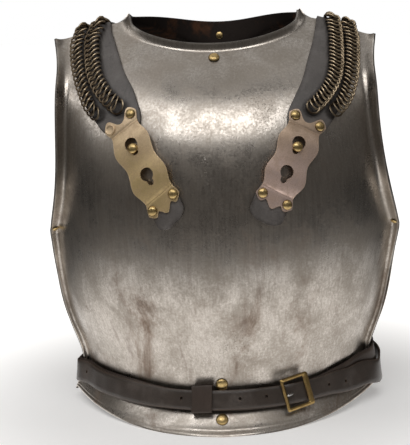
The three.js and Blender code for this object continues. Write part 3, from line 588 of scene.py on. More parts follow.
def cast_brass(name, light, dark, rough=0.3, worn=0.5, metallic=1.0, low=None):
    """Brass gone brown in its hollows and rubbed bright on its crowns, of another colour low down."""
    made, shader, t, place = material(name, metallic)
    spots = place_effect(t, mottle, {"Place": place, "Cloud Scale": 130.0, "Speckle Scale": 900.0})
    lines = place_effect(t, scratches, {"Place": place, "Stretch": (900.0, 900.0, 160.0), "Breaks": 130.0})
    crown = place_effect(
        t, rub, {"Distance": t.attribute("from_edge"), "Width": 1.0, "Place": place, "Breaks": 260.0}
    )
    if low:
        z = t.add("SeparateXYZ", {0: place}, out="Z")
        uneven = t.math("ADD", z, t.math("MULTIPLY", spots["Cloud"], 0.012))
        tone = t.blend(t.between(uneven, 0.335, 0.275), light, low)
    else:
        tone = light
    base = t.blend(t.math("MULTIPLY", spots["Mask"], worn), tone, dark)
    bright = tuple(min(1.0, c * 1.3) for c in light[:3]) + (1.0,)
    base = t.blend(t.math("MULTIPLY", crown["Mask"], 0.6), base, bright)
    base = t.blend(t.math("MULTIPLY", lines["Scratches"], 0.35), base, bright)
    t.feed(shader["Base Color"], base)
    t.feed(shader["Roughness"], t.between(spots["Mask"], 0.0, 1.0, rough, rough + 0.16))
    fine = dent(t, spots["Speckle"], 0.00004)
    t.feed(shader["Normal"], dent(t, lines["Streaks"], 0.00002, onto=fine))
    return made


def rivet_brass():
    """The domes: bright on top, darkened nearly to black round their feet as painted shade with grime."""
    made, shader, t, place = material("rivet_brass", 1.0)
    spots = place_effect(t, mottle, {"Place": place, "Cloud Scale": 220.0, "Speckle Scale": 1100.0})
    # the lower part of each dome darkened as painted shade with grime
    foot = t.between(t.attribute("foot"), 0.35, 1.0)
    base = t.blend(t.math("MULTIPLY", spots["Mask"], 0.5), rgb(0.60, 0.44, 0.20), rgb(0.38, 0.265, 0.115))
    t.feed(shader["Base Color"], t.blend(foot, base, rgb(0.07, 0.045, 0.02)))
    t.feed(shader["Roughness"], t.between(spots["Mask"], 0.0, 1.0, 0.3, 0.45))
    t.feed(shader["Normal"], dent(t, spots["Speckle"], 0.00005))
    return made


def hide(name, colour, worn_colour, edge_colour, shine, pebble=700.0, wrinkle=60.0, width=1.6):
    """Leather with its grain, its wrinkles with painted shade in their creases, pale worn places, a darker or
    paler cut edge, and painted shade with grime where chains lie on it.
    """
    made, shader, t, place = material(name, 0.0)
    skin = place_effect(t, grain, {"Place": place, "Pebble Scale": pebble, "Wrinkle Scale": wrinkle})
    spots = place_effect(t, mottle, {"Place": place, "Cloud Scale": 48.0, "Speckle Scale": 500.0})
    cut = place_effect(
        t, rub, {"Distance": t.attribute("from_edge"), "Width": width, "Place": place, "Breaks": 160.0}
    )
    base = t.blend(t.math("MULTIPLY", skin["Worn"], 0.6), colour, worn_colour)
    deep = tuple(c * 0.55 for c in colour[:3]) + (1.0,)
    base = t.blend(t.math("MULTIPLY", spots["Mask"], 0.4), base, deep)
    # painted shade in the creases of the wrinkles
    crease_shade = t.between(skin["Wrinkles"], 0.42, 0.34)
    base = t.blend(t.math("MULTIPLY", crease_shade, 0.5), base, deep)
    base = t.blend(t.math("MULTIPLY", cut["Mask"], 0.75), base, edge_colour)
    # painted shade with grime, near black, where the chains lie on the strap
    chain_darkened = t.blend(t.attribute("chain_grime_and_shade"), base, rgb(0.022, 0.017, 0.014))
    t.feed(shader["Base Color"], chain_darkened)
    t.feed(shader["Roughness"], t.between(skin["Worn"], 0.0, 1.0, shine, shine + 0.16))
    shader["Specular IOR Level"].default_value = 0.45
    t.feed(shader["Normal"], dent(t, skin["Height"], LEATHER_GRAIN))
    return made


def wire_brass(name, light, dark):
    """Chain wire: lighter on the proud outside of each link, partly rubbed wear and partly painted highlight,
    and dark in between as painted shade.
    """
    made, shader, t, place = material(name, 1.0)
    spots = place_effect(t, mottle, {"Place": place, "Cloud Scale": 160.0, "Speckle Scale": 1300.0})
    # proud parts lightened as rubbed wear and painted highlight, low parts darkened as painted shade
    high = t.between(t.attribute("proud"), 0.25, 0.95)
    base = t.blend(high, dark, light)
    base = t.blend(t.math("MULTIPLY", spots["Mask"], 0.45), base, dark)
    t.feed(shader["Base Color"], base)
    t.feed(shader["Roughness"], t.between(high, 0.0, 1.0, 0.6, 0.4))
    t.feed(shader["Normal"], dent(t, spots["Speckle"], 0.00004))
    return made


steel_front = plate_steel("breastplate_steel")
steel_back = plate_steel("backplate_steel", 0.9, 0.7)
dome_brass = rivet_brass()
plate_brass_left = cast_brass(
    "strap_plate_brass_left",
    rgb(0.70, 0.54, 0.36), rgb(0.46, 0.33, 0.215), 0.46, 0.5, 0.8, rgb(0.70, 0.53, 0.26),
)
plate_brass_right = cast_brass(
    "strap_plate_brass_right",
    rgb(0.62, 0.47, 0.34), rgb(0.38, 0.27, 0.19), 0.44, 0.5, 0.8, rgb(0.84, 0.64, 0.56),
)
buckle_brass = cast_brass("buckle_brass", rgb(0.34, 0.235, 0.09), rgb(0.12, 0.07, 0.035), 0.32, 0.8)
# the light colour is worn wire with painted highlight, the dark one painted shade between the links
chain_brass = wire_brass("chain_wire", rgb(0.62, 0.49, 0.33), rgb(0.06, 0.042, 0.028))
prong_steel = cast_brass("prong_steel", rgb(0.5, 0.49, 0.47), rgb(0.2, 0.19, 0.18), 0.3, 0.4)
strap_hide = hide(
    "strap_leather",
    rgb(0.125, 0.112, 0.104), rgb(0.185, 0.168, 0.158), rgb(0.04, 0.031, 0.026), 0.42, width=3.4
)
belt_hide = hide(
    "belt_leather",
    rgb(0.045, 0.034, 0.027), rgb(0.082, 0.064, 0.053), rgb(0.09, 0.06, 0.042), 0.36, 900.0, 45.0
)
inner_hide = hide(
    "inner_belt_leather",
    rgb(0.045, 0.03, 0.022), rgb(0.085, 0.058, 0.042), rgb(0.03, 0.02, 0.014), 0.42, 900.0, 45.0
)

# ---- Breastplate and backplate -----------------------------------------------------------


def close_together(knots, counts):
    """Numbers from knot to knot, with so many steps in each span."""
    spans = [np.linspace(a, b, n, endpoint=False) for a, b, n in zip(knots, knots[1:], counts)]
    return np.concatenate(spans + [[knots[-1]]])


def plate_shell(name, plate, wall, rows, spread, finish, node):
    """One closed shell of sheet steel, its wall turned at the borders, kept in the solids' own box."""
    outer = float(plate.fold(plate.top))
    neck = plate.neck_half / outer
    shares = close_together([0, 0.8 * neck, neck, 1], spread[:3])
    turned = close_together([0, 1], spread[3:])[1:]
    half = [(s, 0.0) for s in shares] + [(1.0, u) for u in turned]
    columns = [(-s, -u) for s, u in half[:0:-1]] + half
    share = np.array([c[0] for c in columns])[None, :]
    turn = np.array([c[1] for c in columns])[None, :]
    row = np.array(rows)[:, None]
    edge_top = float(plate.edge(plate.top))
    ends_at = plate.neck_edge(np.where(np.abs(turn) > 0, edge_top, share * outer))
    squeeze = (ends_at - plate.corner_at) / (plate.top - plate.corner_at)
    t = np.where(row <= plate.corner_at, row, plate.corner_at + (row - plate.corner_at) * squeeze)
    t = t + 0 * share
    x = share * plate.fold(t) + turn * (plate.edge(t) - plate.fold(t))
    points = plate.point(x, t)

    piece = sheet(name, points)
    facing(piece, (0, plate.facing, 0.001))
    from_side = plate.edge(t) - np.abs(x)
    from_neck = np.where(np.abs(x) < plate.neck_half + 3, plate.neck_distance(np.abs(x), t), 99)
    from_edge = np.minimum(np.minimum(from_side, from_neck), np.minimum(t, np.abs(plate.top - t) + 0.5))
    mark(piece, "from_edge", np.maximum(0, from_edge))
    mark(piece, "inside", np.zeros(points.shape[:2]))
    count = len(piece.data.vertices)
    base = placed(plate.point(x[0], 0 * x[0]))
    finish_with(piece, "SOLIDIFY", thickness=wall * MM, offset=-1.0, use_even_offset=True, use_rim=True)

    vertices = piece.data.vertices
    inside = np.zeros(len(vertices), np.float32)
    inside[count:] = 1
    piece.data.attributes["inside"].data.foreach_set("value", inside)
    places = np.zeros(len(vertices) * 3, np.float32)
    vertices.foreach_get("co", places)
    places = places.reshape(-1, 3)
    lowest = np.interp(places[:, 0], base[:, 0], base[:, 2])
    places[:, 2] = np.maximum(places[:, 2], lowest)
    places = np.clip(places, np.array(cad_low), np.array(cad_high))
    vertices.foreach_set("co", places.ravel())
    piece.data.update()
    smooth(piece, 50)
    return hand_over(piece, finish, "steel", node)


breast_rows = close_together(
    [0, 10, 60, 100, breast.corner_at, breast.top - 30, breast.top - 13, breast.top],
    [14, 26, 12, 34, 58, 14, 26],
)
plate_shell(
    "breastplate_shell", breast, BREAST_WALL, breast_rows, (46, 18, 34, 8), steel_front, "breastplate"
)
back_rows = close_together(
    [0, 10, 60, 100, back.corner_at, back.top - 45, back.top - 30, back.top], [10, 20, 10, 24, 44, 12, 36]
)
plate_shell("backplate_shell", back, BACK_WALL, back_rows, (40, 14, 26, 6), steel_back, "backplate")

# ---- Rivets ------------------------------------------------------------------------------


def spun(name, profile, place, way, steps=36):
    """A profile of (radius, height) in millimetres, spun round and stood on a place."""
    bpy.ops.object.select_all(action="DESELECT")
    bpy.ops.mesh.primitive_plane_add(size=1)
    piece = bpy.context.object
    piece.name = piece.data.name = name
    piece.data.clear_geometry()
    line = [(r * MM, 0, h * MM) for r, h in profile]
    piece.data.from_pydata(line, [(i, i + 1) for i in range(len(line) - 1)], [])
    spin = lambda: bpy.ops.mesh.spin(steps=steps, angle=2 * math.pi, center=(0, 0, 0), axis=(0, 0, 1))
    edit(piece, spin, lambda: bpy.ops.mesh.select_all(action="SELECT"), merge(2e-6), face_out)
    heights = [v.co.z for v in piece.data.vertices]
    top = max(heights)
    # foot runs from 1 at the base to 0 at the top, for the painted shade with grime round a dome's foot
    mark(piece, "foot", [1 - h / top for h in heights])
    mark(piece, "from_edge", [2.0 - 2.0 * h / top for h in heights])
    turn = Vector((0, 0, 1)).rotation_difference(Vector(way))
    piece.data.transform(Matrix.Translation(Vector(placed(place))) @ turn.to_matrix().to_4x4())
    return smooth(piece, 45)


def dome(radius, height, foot=0.5):
    """A rivet head: a low foot ring and a dome."""
    angles = np.radians(np.linspace(4, 90, 12))
    curve = [(radius * math.cos(a), foot + (height - foot) * math.sin(a)) for a in angles]
    return [(0.01, 0), (radius * 0.9, 0), (radius, foot * 0.6)] + curve[:-1] + [(0.0, height)]


def rivet(node, place, way, radius, height):
    piece = spun(node + "_dome", dome(radius, height), place, way)
    return hand_over(piece, dome_brass, "rivets", node)


def rivet_on(plate, node, x, t, radius, height, lie):
    x, t = np.float64(x), np.float64(t)
    return rivet(node, plate.raised(x, t, lie), plate.normal(x, t), radius, height)


rivet_on(breast, "neck_rivet", 1.5, 426, 5.9, 3.6, 0.1)
rivet_on(breast, "waist_rivet_upper", 1, 58.4, 6.7, 4, 0.1)
rivet_on(breast, "waist_rivet_lower", 1, 20.4, 6.6, 4, 0.1)
SIDE_RIVET_AT = 218
for side, sign in (("left", -1), ("right", 1)):
    x = sign * (float(breast.edge(SIDE_RIVET_AT)) - 3.6)
    rivet_on(breast, f"side_rivet_{side}", x, SIDE_RIVET_AT, 3.4, 2.2, 0.1)
COLLAR_RIVET_AT = 417
collar_way = -back.normal(np.float64(0), np.float64(COLLAR_RIVET_AT))
collar_place = back.point(np.float64(0), np.float64(COLLAR_RIVET_AT)) + collar_way * (BACK_WALL + 0.2)
rivet("collar_rivet", collar_place, collar_way, 4.2, 2)

# ---- Shoulder straps ---------------------------------------------------------------------

CREST = 11
ARCH_START = breast.top - 2
ARCH_END = ARCH_START + CREST
LEATHER_GAP = 1.2
LEATHER = 2.4
STRAP_BEHIND = 60
CHAIN_BEHIND = 46
CHAIN_HEIGHT = 7.4
STRAPS = {
    "left": dict(
        side=-1,
        line=[
            (130, 486, 19.5), (126.8, 450, 23.3), (118.5, 405, 26), (106.5, 370, 27.5), (93, 343, 23.5),
            (89, 335, 23),
        ],
        inner=[
            (123.5, 486), (128, 470), (128.6, 455), (127.3, 437), (125.3, 416), (120.8, 396),
            (111.5, 376.5), (103.5, 366.5), (93.5, 357.5),
        ],
        outer=[
            (141.5, 486), (144.6, 472), (145.5, 457), (144.5, 440), (141.5, 414), (136, 388),
            (129, 366.5), (123.5, 356), (117.5, 350),
        ],
        plate_top=(92.7, 343), plate_foot=(49.8, 262.5), tab_foot=(42, 240), tab_half=17,
        skew=0.2, widths=(8.4, 6.7), pitch=6.3, roll=7,
    ),
    "right": dict(
        side=1,
        line=[
            (130, 486, 20.5), (127, 450, 22.5), (120.5, 405, 24.5), (110, 368, 24), (95.5, 340, 22.5),
            (91.4, 332, 22),
        ],
        inner=[
            (125.5, 486), (127.2, 471), (127.4, 452), (127, 427), (125, 399), (119.3, 379),
            (113.5, 368.5), (107, 360), (99, 352),
        ],
        outer=[
            (141.5, 486), (143.2, 473), (144.2, 457), (143.4, 430), (141.5, 402), (137, 376),
            (132.5, 363), (127.2, 354), (121.5, 347.5),
        ],
        plate_top=(94.6, 338.7), plate_foot=(60.5, 263), tab_foot=(55, 235), tab_half=18,
        skew=0.11, widths=(7.5, 7.5), pitch=4.9, roll=5,
    ),
}


def over_shoulder(x, s, height):
    """A place over the straps' bed: up the breastplate, over the crest and down the back."""
    x, s, height = np.broadcast_arrays(*(np.asarray(v, float) for v in (x, s, height)))
    back_top = back.top - 2
    front = breast.raised(x, np.minimum(s, ARCH_START), height)
    behind = back.raised(x, back_top - np.maximum(0, s - ARCH_END), height)
    start = breast.raised(x, 0 * s + ARCH_START, height)
    rising = unit(start - breast.raised(x, 0 * s + ARCH_START - 1, height))
    apex = start + rising * CREST * 0.42
    end = back.raised(x, 0 * s + back_top, height)
    k = np.clip((s - ARCH_START) / CREST, 0, 1)[..., None]
    arch = (1 - k) ** 2 * start + 2 * k * (1 - k) * apex + k**2 * end
    s = s[..., None]
    return np.where(s <= ARCH_START, front, np.where(s >= ARCH_END, behind, arch))


def strap_route(strap):
    line = list(reversed(strap["line"]))
    line += [(130, ARCH_END, 20), (129, ARCH_END + 30, 20), (127, ARCH_END + STRAP_BEHIND, 19)]
    return Route(line)


def beside(strap, route, share, outward, height):
    """A place beside a strap's middle line, outward positive."""
    here, way = route.at(share), route.way(share)
    run = np.hypot(way[..., 0], way[..., 1])
    x = here[..., 0] + way[..., 1] / run * outward
    s = here[..., 1] - way[..., 0] / run * outward
    return over_shoulder(strap["side"] * x, s, height)


def chain_route(strap, row):
    line = list(reversed([(x, s, 0) for x, s in strap[row]]))
    across_behind = {"inner": 124, "outer": 141.5}[row]
    return Route(line + [(across_behind, ARCH_END + d, 0) for d in (0, 20, CHAIN_BEHIND)])


def strap_leather(side, strap):
    route = strap_route(strap)
    share = np.linspace(0, 1, 190)[:, None]
    column = np.linspace(-1, 1, 19)[None, :]
    half = route.at(share[:, 0])[:, 2][:, None]
    # the foot end is cut round beyond the plate's rivets
    foot = np.clip(1 - share * route.length / 16, 0, 1)
    half = half * (1 - 0.22 * foot**2)
    outward = column * half + 0.35 * ripple(share * 400, column * 9, 11, 60)
    height = LEATHER_GAP + LEATHER + 0.22 * ripple(share * 400, column * 20, 5, 34)
    points = beside(strap, route, share + 0 * column, outward, height)
    piece = sheet(f"strap_leather_{side}_hide", points)
    facing(piece, (0, -1, 0.4))
    mark(piece, "from_edge", (1 - np.abs(column)) * half + 0 * share)
    # how near each corner lies to a chain row: the strap is darkened there as painted shade with grime
    under = np.full(points.shape[:2], 99.0)
    for row in ("inner", "outer"):
        bed = beside(strap, chain_route(strap, row), np.linspace(0, 1, 160), 0.0, LEATHER_GAP + LEATHER)
        gap = np.linalg.norm(points[:, :, None] - bed, axis=-1).min(-1)
        under = np.minimum(under, gap - strap["widths"][row == "outer"])
    mark(piece, "chain_grime_and_shade", np.clip(1 - (under - 0.5) / 2.5, 0, 0.93))
    finish_with(piece, "SOLIDIFY", thickness=LEATHER * MM, offset=-1.0)
    finish_with(piece, "BEVEL", width=0.0006, segments=2, limit_method="ANGLE", angle_limit=math.radians(60))
    smooth(piece, 50)
    return hand_over(piece, strap_hide, "strap_leather", f"strap_leather_{side}")


LINK_HALF_LENGTH = 6.0
LINK_WIRE = 1.05
LINK_TWIST = math.radians(26)
LINK_TIP = -23
LINK_ROUND = 14
LINK_SIDES = 5


def link_form(hand, half_width, roll):
    """One curb link as a twisted ring, rolled a little to one side of its row."""
    bpy.ops.object.select_all(action="DESELECT")
    bpy.ops.mesh.primitive_torus_add(
        major_segments=LINK_ROUND, minor_segments=LINK_SIDES, major_radius=half_width, minor_radius=LINK_WIRE
    )
    ring = bpy.context.object
    corners = np.array([v.co for v in ring.data.vertices])
    faces = [tuple(f.vertices) for f in ring.data.polygons]
    bpy.data.objects.remove(ring)
    angle = np.arctan2(corners[:, 1], corners[:, 0])
    round_way = np.stack([np.cos(angle), np.sin(angle), 0 * angle], 1)
    form = round_way * [half_width, LINK_HALF_LENGTH, 0] + (corners - round_way * half_width)
    twist = math.radians(roll) + hand * LINK_TWIST * form[:, 1] / LINK_HALF_LENGTH
    across = form[:, 0] * np.cos(twist) - form[:, 2] * np.sin(twist)
    proud = form[:, 0] * np.sin(twist) + form[:, 2] * np.cos(twist)
    return np.stack([across, form[:, 1], proud], 1), faces


def chain_row(side, row, strap):
    """A row of links laid along a shoulder, the lowest ones loose over the strap's end."""
    route = chain_route(strap, row)
    fine = np.linspace(0, 1, 900)
    places = beside(strap, route, fine, 0.0, CHAIN_HEIGHT)
    beds = beside(strap, route, fine, 0.0, 0.0)
    run = np.concatenate([[0], np.cumsum(np.linalg.norm(np.diff(places, axis=0), axis=1))])
    count = int(run[-1] / strap["pitch"])
    form, faces = link_form(strap["side"], strap["widths"][row == "outer"], strap["roll"])
    draw = random.Random(f"{side}{row}")
    corners, polygons, proud = [], [], []
    for k in range(count):
        spot = (k + 0.5) * run[-1] / count
        place, bed, ahead, behind = (
            np.array([np.interp(at, run, line[:, c]) for c in range(3)])
            for line, at in ((places, spot), (beds, spot), (places, spot + 1.5), (places, spot - 1.5))
        )
        way = unit(ahead - behind)
        up = place - bed
        up = unit(up - way * up.dot(way))
        out = np.cross(way, up)
        loose = max(0.0, 1 - k / 3.5)
        turn = math.radians(draw.uniform(-3, 3) + loose * draw.uniform(-26, 26))
        tip = math.radians(LINK_TIP + draw.uniform(-4, 4) + loose * draw.uniform(-4, 22))
        spin = Matrix.Rotation(turn, 3, "Z") @ Matrix.Rotation(tip, 3, "X")
        shape = form * [1 + 0.03 * draw.uniform(-1, 1), 1 + 0.12 * loose, 1 - 0.3 * loose]
        shape = shape @ np.array(spin.transposed())
        sink = 0.9 * loose
        world = place - up * sink + shape[:, :1] * out + shape[:, 1:2] * way + shape[:, 2:] * up
        polygons += [tuple(v + len(corners) * len(form) for v in face) for face in faces]
        corners.append(world)
        # how proud each corner stands, for the chain's painted highlight, wear and painted shade
        proud.append(np.clip(0.5 + (shape[:, 2] - sink) / 5.2, 0, 1))
    bpy.ops.object.select_all(action="DESELECT")
    bpy.ops.mesh.primitive_torus_add(major_radius=0.01, minor_radius=0.001)
    piece = bpy.context.object
    piece.name = piece.data.name = f"shoulder_chain_{side}_{row}"
    piece.data.clear_geometry()
    piece.data.from_pydata(placed(np.concatenate(corners)).tolist(), [], polygons)
    edit(piece, face_out)
    mark(piece, "proud", np.concatenate(proud))
    smooth(piece, 75)
    return hand_over(piece, chain_brass, "chains", f"chain_{side}_{row}")


# ---- Strap plates ------------------------------------------------------------------------

BRASS_WALL = 1.5
SHEET_BRASS = 1.3
PLATE_LENGTH = 91
RIVET_SPREAD = 13.4
CREASE_TOP = 8.5
CREASE_FOOT = 83
CREASE_DEPTH = 0.55
TAB_LIE = LEATHER_GAP + LEATHER + 0.4
STUD_AT = 31.5
KEYHOLES = (27, 60)
KEYHOLE_RADIUS = 7.1
SLOT_HALF = 3.4
SLOT_REACH = 12.2
plate_half = Spline([-8, 0, 8.5, 27, 46, 67, 83, 92, 102], [18.5, 20, 16.8, 20.6, 17.4, 20.8, 17, 19.5, 17])
plate_rise = Spline([8.5, 22, 45, 68, 83], [0, 3.2, 2.0, 3.2, 0])


def mirrored(shares, values):
    """A curve over -1 to 1 from its values at shares 0 to 1, the same on both sides."""
    return Spline([-a for a in shares[:0:-1]] + shares, values[:0:-1] + values)


plate_head = mirrored([0, 0.2, 0.4, 0.66, 0.86, 1], [2, 0.6, -4, -7.8, -6, -1])
plate_toe = mirrored([0, 0.2, 0.4, 0.62, 0.82, 1], [102, 99.5, 95.5, 98.6, 98, 94])


def on_panel(strap, along, outward, height):
    """A place on the chest beside a strap plate's middle line."""
    top, foot = np.array(strap["plate_top"], float), np.array(strap["plate_foot"], float)
    way = (foot - top) / PLATE_LENGTH
    aside = unit(np.array([-way[1], way[0]]))
    along, outward, height = np.broadcast_arrays(*(np.asarray(v, float) for v in (along, outward, height)))
    along = along + strap["skew"] * outward
    place = top + along[..., None] * way + outward[..., None] * aside
    return breast.raised(strap["side"] * place[..., 0], place[..., 1], height)


def panel_frame(strap, along, outward, height):
    """A place on a strap plate, with the ways across it, towards its head and off it."""
    place = on_panel(strap, along, outward, height)
    up = unit(on_panel(strap, along, outward, height + 1) - place)
    head = on_panel(strap, along - 5, outward, height) - on_panel(strap, along + 5, outward, height)
    head = unit(head - up * head.dot(up))
    return place, np.cross(head, up), head, up


def keyhole_cutter(strap, along):
    """A keyhole's outline, standing through the plate with its slot towards the foot."""
    start = math.asin(SLOT_HALF / KEYHOLE_RADIUS)
    ring = [(-math.pi / 2 + a) for a in np.linspace(start, 2 * math.pi - start, 30)]
    outline = [(KEYHOLE_RADIUS * math.cos(a), KEYHOLE_RADIUS * math.sin(a)) for a in ring]
    slot = np.linspace(math.pi, 2 * math.pi, 12)
    outline += [(SLOT_HALF * math.cos(a), SLOT_HALF - SLOT_REACH + SLOT_HALF * math.sin(a)) for a in slot]
    place, across, head, up = panel_frame(strap, along, 0.0, TAB_LIE + float(plate_rise(along)))
    flat = np.array([place + u * across + v * head for u, v in outline])
    walls = np.stack([flat - 8 * up, flat + 8 * up])
    return sheet("keyhole_cutter", walls, wrap=True, caps=True)


def plate_crease(along):
    """The two bent lines of a strap plate, as a small dip."""
    return -CREASE_DEPTH * sum(np.exp(-(((along - at) / 1.5) ** 2)) for at in (CREASE_TOP, CREASE_FOOT))


def strap_plate(side, strap, finish):
    """Wavy sheet brass, pierced with two keyholes, its head and foot riveted down."""
    column = np.linspace(-1, 1, 61)[None, :]
    share = np.linspace(0, 1, 40)[:, None]
    head, toe = plate_head(column), plate_toe(column)
    between = np.linspace(0, 1, 90)[:-1, None]
    rows = [
        head + (CREASE_TOP - head) * share[:-1],
        CREASE_TOP + (CREASE_FOOT - CREASE_TOP) * between + 0 * column,
        CREASE_FOOT + (toe - CREASE_FOOT) * share,
    ]
    along = np.concatenate(rows)
    outward = column * plate_half(along)
    waves = 0.3 * ripple(along, outward, 21 + strap["side"], 26)
    height = TAB_LIE + plate_rise(along) + plate_crease(along) + BRASS_WALL + waves
    piece = sheet(f"strap_plate_{side}_sheet", on_panel(strap, along, outward, height))
    facing(piece, (0, -1, 0.3))
    near = np.minimum(plate_half(along) - np.abs(outward), np.minimum(along - head, toe - along))
    mark(piece, "from_edge", np.maximum(0, near))
    finish_with(piece, "SOLIDIFY", thickness=SHEET_BRASS * MM, offset=-1.0)
    for middle in KEYHOLES:
        cutter = keyhole_cutter(strap, middle)
        finish_with(piece, "BOOLEAN", object=cutter, operation="DIFFERENCE", solver="EXACT")
        bpy.data.objects.remove(cutter)
    smooth(piece, 40)
    return hand_over(piece, finish, "strap_plates", f"strap_plate_{side}")


def pull_tab(side, strap):
    """The short leather pull below a strap plate: the left one is curled, the right one flat."""
    curled = side == "left"
    start = PLATE_LENGTH - 10
    end = PLATE_LENGTH + np.hypot(*(np.array(strap["tab_foot"]) - strap["plate_foot"]))
    share = np.linspace(0, 1, 60)[:, None]
    column = np.linspace(-1, 1, 27)[None, :]
    rounding = 1 - 0.6 * np.clip((share - 0.72) / 0.28, 0, 1) ** 2.6
    lean = (0.05 if curled else -0.1) * strap["tab_half"]
    wander = 0.7 * ripple(share * 40, column * 4, 3, 24)
    outward = column * strap["tab_half"] * rounding + lean * share + wander
    along = start + (end - start) * share + 0 * column
    height = LEATHER_GAP + LEATHER + 0.25 * ripple(along, outward, 9, 18)
    if curled:
        height = height + 2.6 * np.clip((share - 0.45) / 0.55, 0, 1) ** 2 * (0.6 + 0.4 * column)
    piece = sheet(f"pull_tab_{side}_hide", on_panel(strap, along, outward, height))
    facing(piece, (0, -1, 0.3))
    mark(piece, "from_edge", np.minimum((1 - np.abs(column)) * 16, (1 - share) * (end - start) * 0.8))
    finish_with(piece, "SOLIDIFY", thickness=LEATHER * MM, offset=-1.0)
    finish_with(piece, "BEVEL", width=0.0005, segments=2, limit_method="ANGLE", angle_limit=math.radians(60))
    smooth(piece, 50)
    return hand_over(piece, strap_hide, "strap_leather", f"pull_tab_{side}")


STUD = [
    (0.01, 0), (4, 0), (4, 1.2), (2.6, 1.5), (2.6, 7.6), (4.4, 8), (5.1, 8.6), (5.35, 9.5), (5.1, 10.6),
    (4.4, 11.6), (3.2, 12.4), (1.7, 12.9), (0.0, 13),
]
WORN_RING = [
    (0.01, 0), (5.7, 0), (5.7, 1), (5.3, 1.5), (4.7, 1.6), (4.1, 1.4), (3.7, 0.8), (3.2, 0.6), (0.0, 0.7),
]


def strap_fittings(side, strap, finish):
    strap_plate(side, strap, finish)
    pull_tab(side, strap)
    lie = TAB_LIE + BRASS_WALL
    for row, along in (("top", 0), ("foot", PLATE_LENGTH)):
        for place, outward in (("inner", -RIVET_SPREAD), ("outer", RIVET_SPREAD)):
            node = f"plate_rivet_{side}_{row}_{place}"
            foot = on_panel(strap, along, outward, lie)
            way = unit(on_panel(strap, along, outward, lie + 1) - foot)
            if node == "plate_rivet_left_top_outer":
                ring = spun(node + "_ring", WORN_RING, foot, way)
                hand_over(ring, finish, "rivets", node)
            else:
                rivet(node, foot, way, 5.2, 4)
    foot = on_panel(strap, STUD_AT, 0.0, 0.2)
    way = unit(on_panel(strap, STUD_AT, 0.0, 1.2) - foot)
    hand_over(spun(f"strap_stud_{side}_knob", STUD, foot, way), dome_brass, "rivets", f"strap_stud_{side}")


def back_rivets(side, strap):
    """The two rivets that hold a strap's back end."""
    route = strap_route(strap)
    fine = np.linspace(0, 1, 400)
    share = fine[np.argmin(np.abs(route.at(fine)[:, 1] - (ARCH_END + STRAP_BEHIND - 8)))]
    for place, outward in (("inner", -9), ("outer", 9)):
        low, high = (beside(strap, route, share, outward, LEATHER_GAP + LEATHER + h) for h in (0.2, 1.2))
        rivet(f"strap_rivet_{side}_{place}", low, unit(high - low), 5, 3.4)


for side, strap in STRAPS.items():
    strap_leather(side, strap)
    chain_row(side, "inner", strap)
    chain_row(side, "outer", strap)
    strap_fittings(side, strap, plate_brass_left if side == "left" else plate_brass_right)
    back_rivets(side, strap)

# ---- Waist belt --------------------------------------------------------------------------

INNER_LIE, INNER_THICK = 2.8, 1.8
OUTER_LIE, OUTER_THICK = 5.2, 2.0
BELT_TOP_AT, BELT_FOOT_AT = 57, 27
BUCKLE_X = 75.5
BUCKLE_TURN = math.radians(16.5)


def waist_seat(plate, x, rise=0.0):
    """Where a belt bears on a plate, above and below the waist's groove."""
    x = np.float64(x)
    top, foot = (plate.point(x, np.float64(at + rise)) for at in (BELT_TOP_AT, BELT_FOOT_AT))
    up = unit(top - foot)
    ahead = plate.point(x + 0.5, np.float64(BELT_TOP_AT)) - plate.point(x - 0.5, np.float64(BELT_TOP_AT))
    away = -plate.facing * unit(np.cross(ahead, up))
    return (top + foot) / 2, away, up


def seated(plate, x, height, half, rise=0.0):
    middle, away, _ = waist_seat(plate, x, rise)
    return np.concatenate([middle + away * height, away, [half]])


def beside_hip(x, y, z, out_x, out_y, half):
    return np.concatenate([[x, SEAM_Y + y, z], unit(np.array([out_x, out_y, 0.12])), [half]])


def outer_lie(x):
    return OUTER_LIE + 3.6 * math.exp(-(((x - BUCKLE_X) / 10) ** 2))


BELT_CORNER = 0.6


def band(name, stations, thick, rows, finish, node, seed):
    """A flat belt through its stations, with rounded edges, shallow waves and worn borders."""
    stations = np.array(stations)
    route = Route(stations[:, :3])
    run = np.concatenate([[0], np.cumsum(np.linalg.norm(np.diff(stations[:, :3], axis=0), axis=1))])
    others = [Spline(run / run[-1], stations[:, k]) for k in range(3, 7)]
    share = np.linspace(0, 1, rows)
    place, way = route.at(share), route.way(share)
    away = np.stack([o(share) for o in others[:3]], -1)
    away = unit(away - way * np.sum(away * way, -1, keepdims=True))
    up = np.cross(way, away)
    half = others[3](share) + 0.25 * ripple(share * 900, share * 0, seed, 70)
    near, far = BELT_CORNER, thick - BELT_CORNER
    loop = [
        (-1, near, 0), (-1, 0, near), (-1, 0, far), (-1, near, thick),
        (-0.6, 0, thick), (0, 0, thick), (0.6, 0, thick),
        (1, -near, thick), (1, 0, far), (1, 0, near), (1, -near, 0),
        (0.6, 0, 0), (0, 0, 0), (-0.6, 0, 0),
    ]
    columns = []
    for share_up, inset, lift in loop:
        wave = 0.3 * ripple(share * 900, np.full_like(share, share_up * 30), seed + 4, 46)
        columns.append(place + up * (share_up * half + inset)[:, None] + away * (lift + wave)[:, None])
    piece = sheet(name, np.stack(columns, 1), wrap=True, caps=True)
    points = np.array([v.co for v in piece.data.vertices])
    grid = placed(place)
    nearest = np.argmin(((points[:, None, :] - grid[None, ::4, :]) ** 2).sum(-1), 1) * 4
    reach = np.abs(((points - grid[nearest]) * up[nearest]).sum(-1)) / MM
    mark(piece, "from_edge", np.maximum(0, half[nearest] - reach))
    smooth(piece, 50)
    return hand_over(piece, finish, "belt_leather", node)


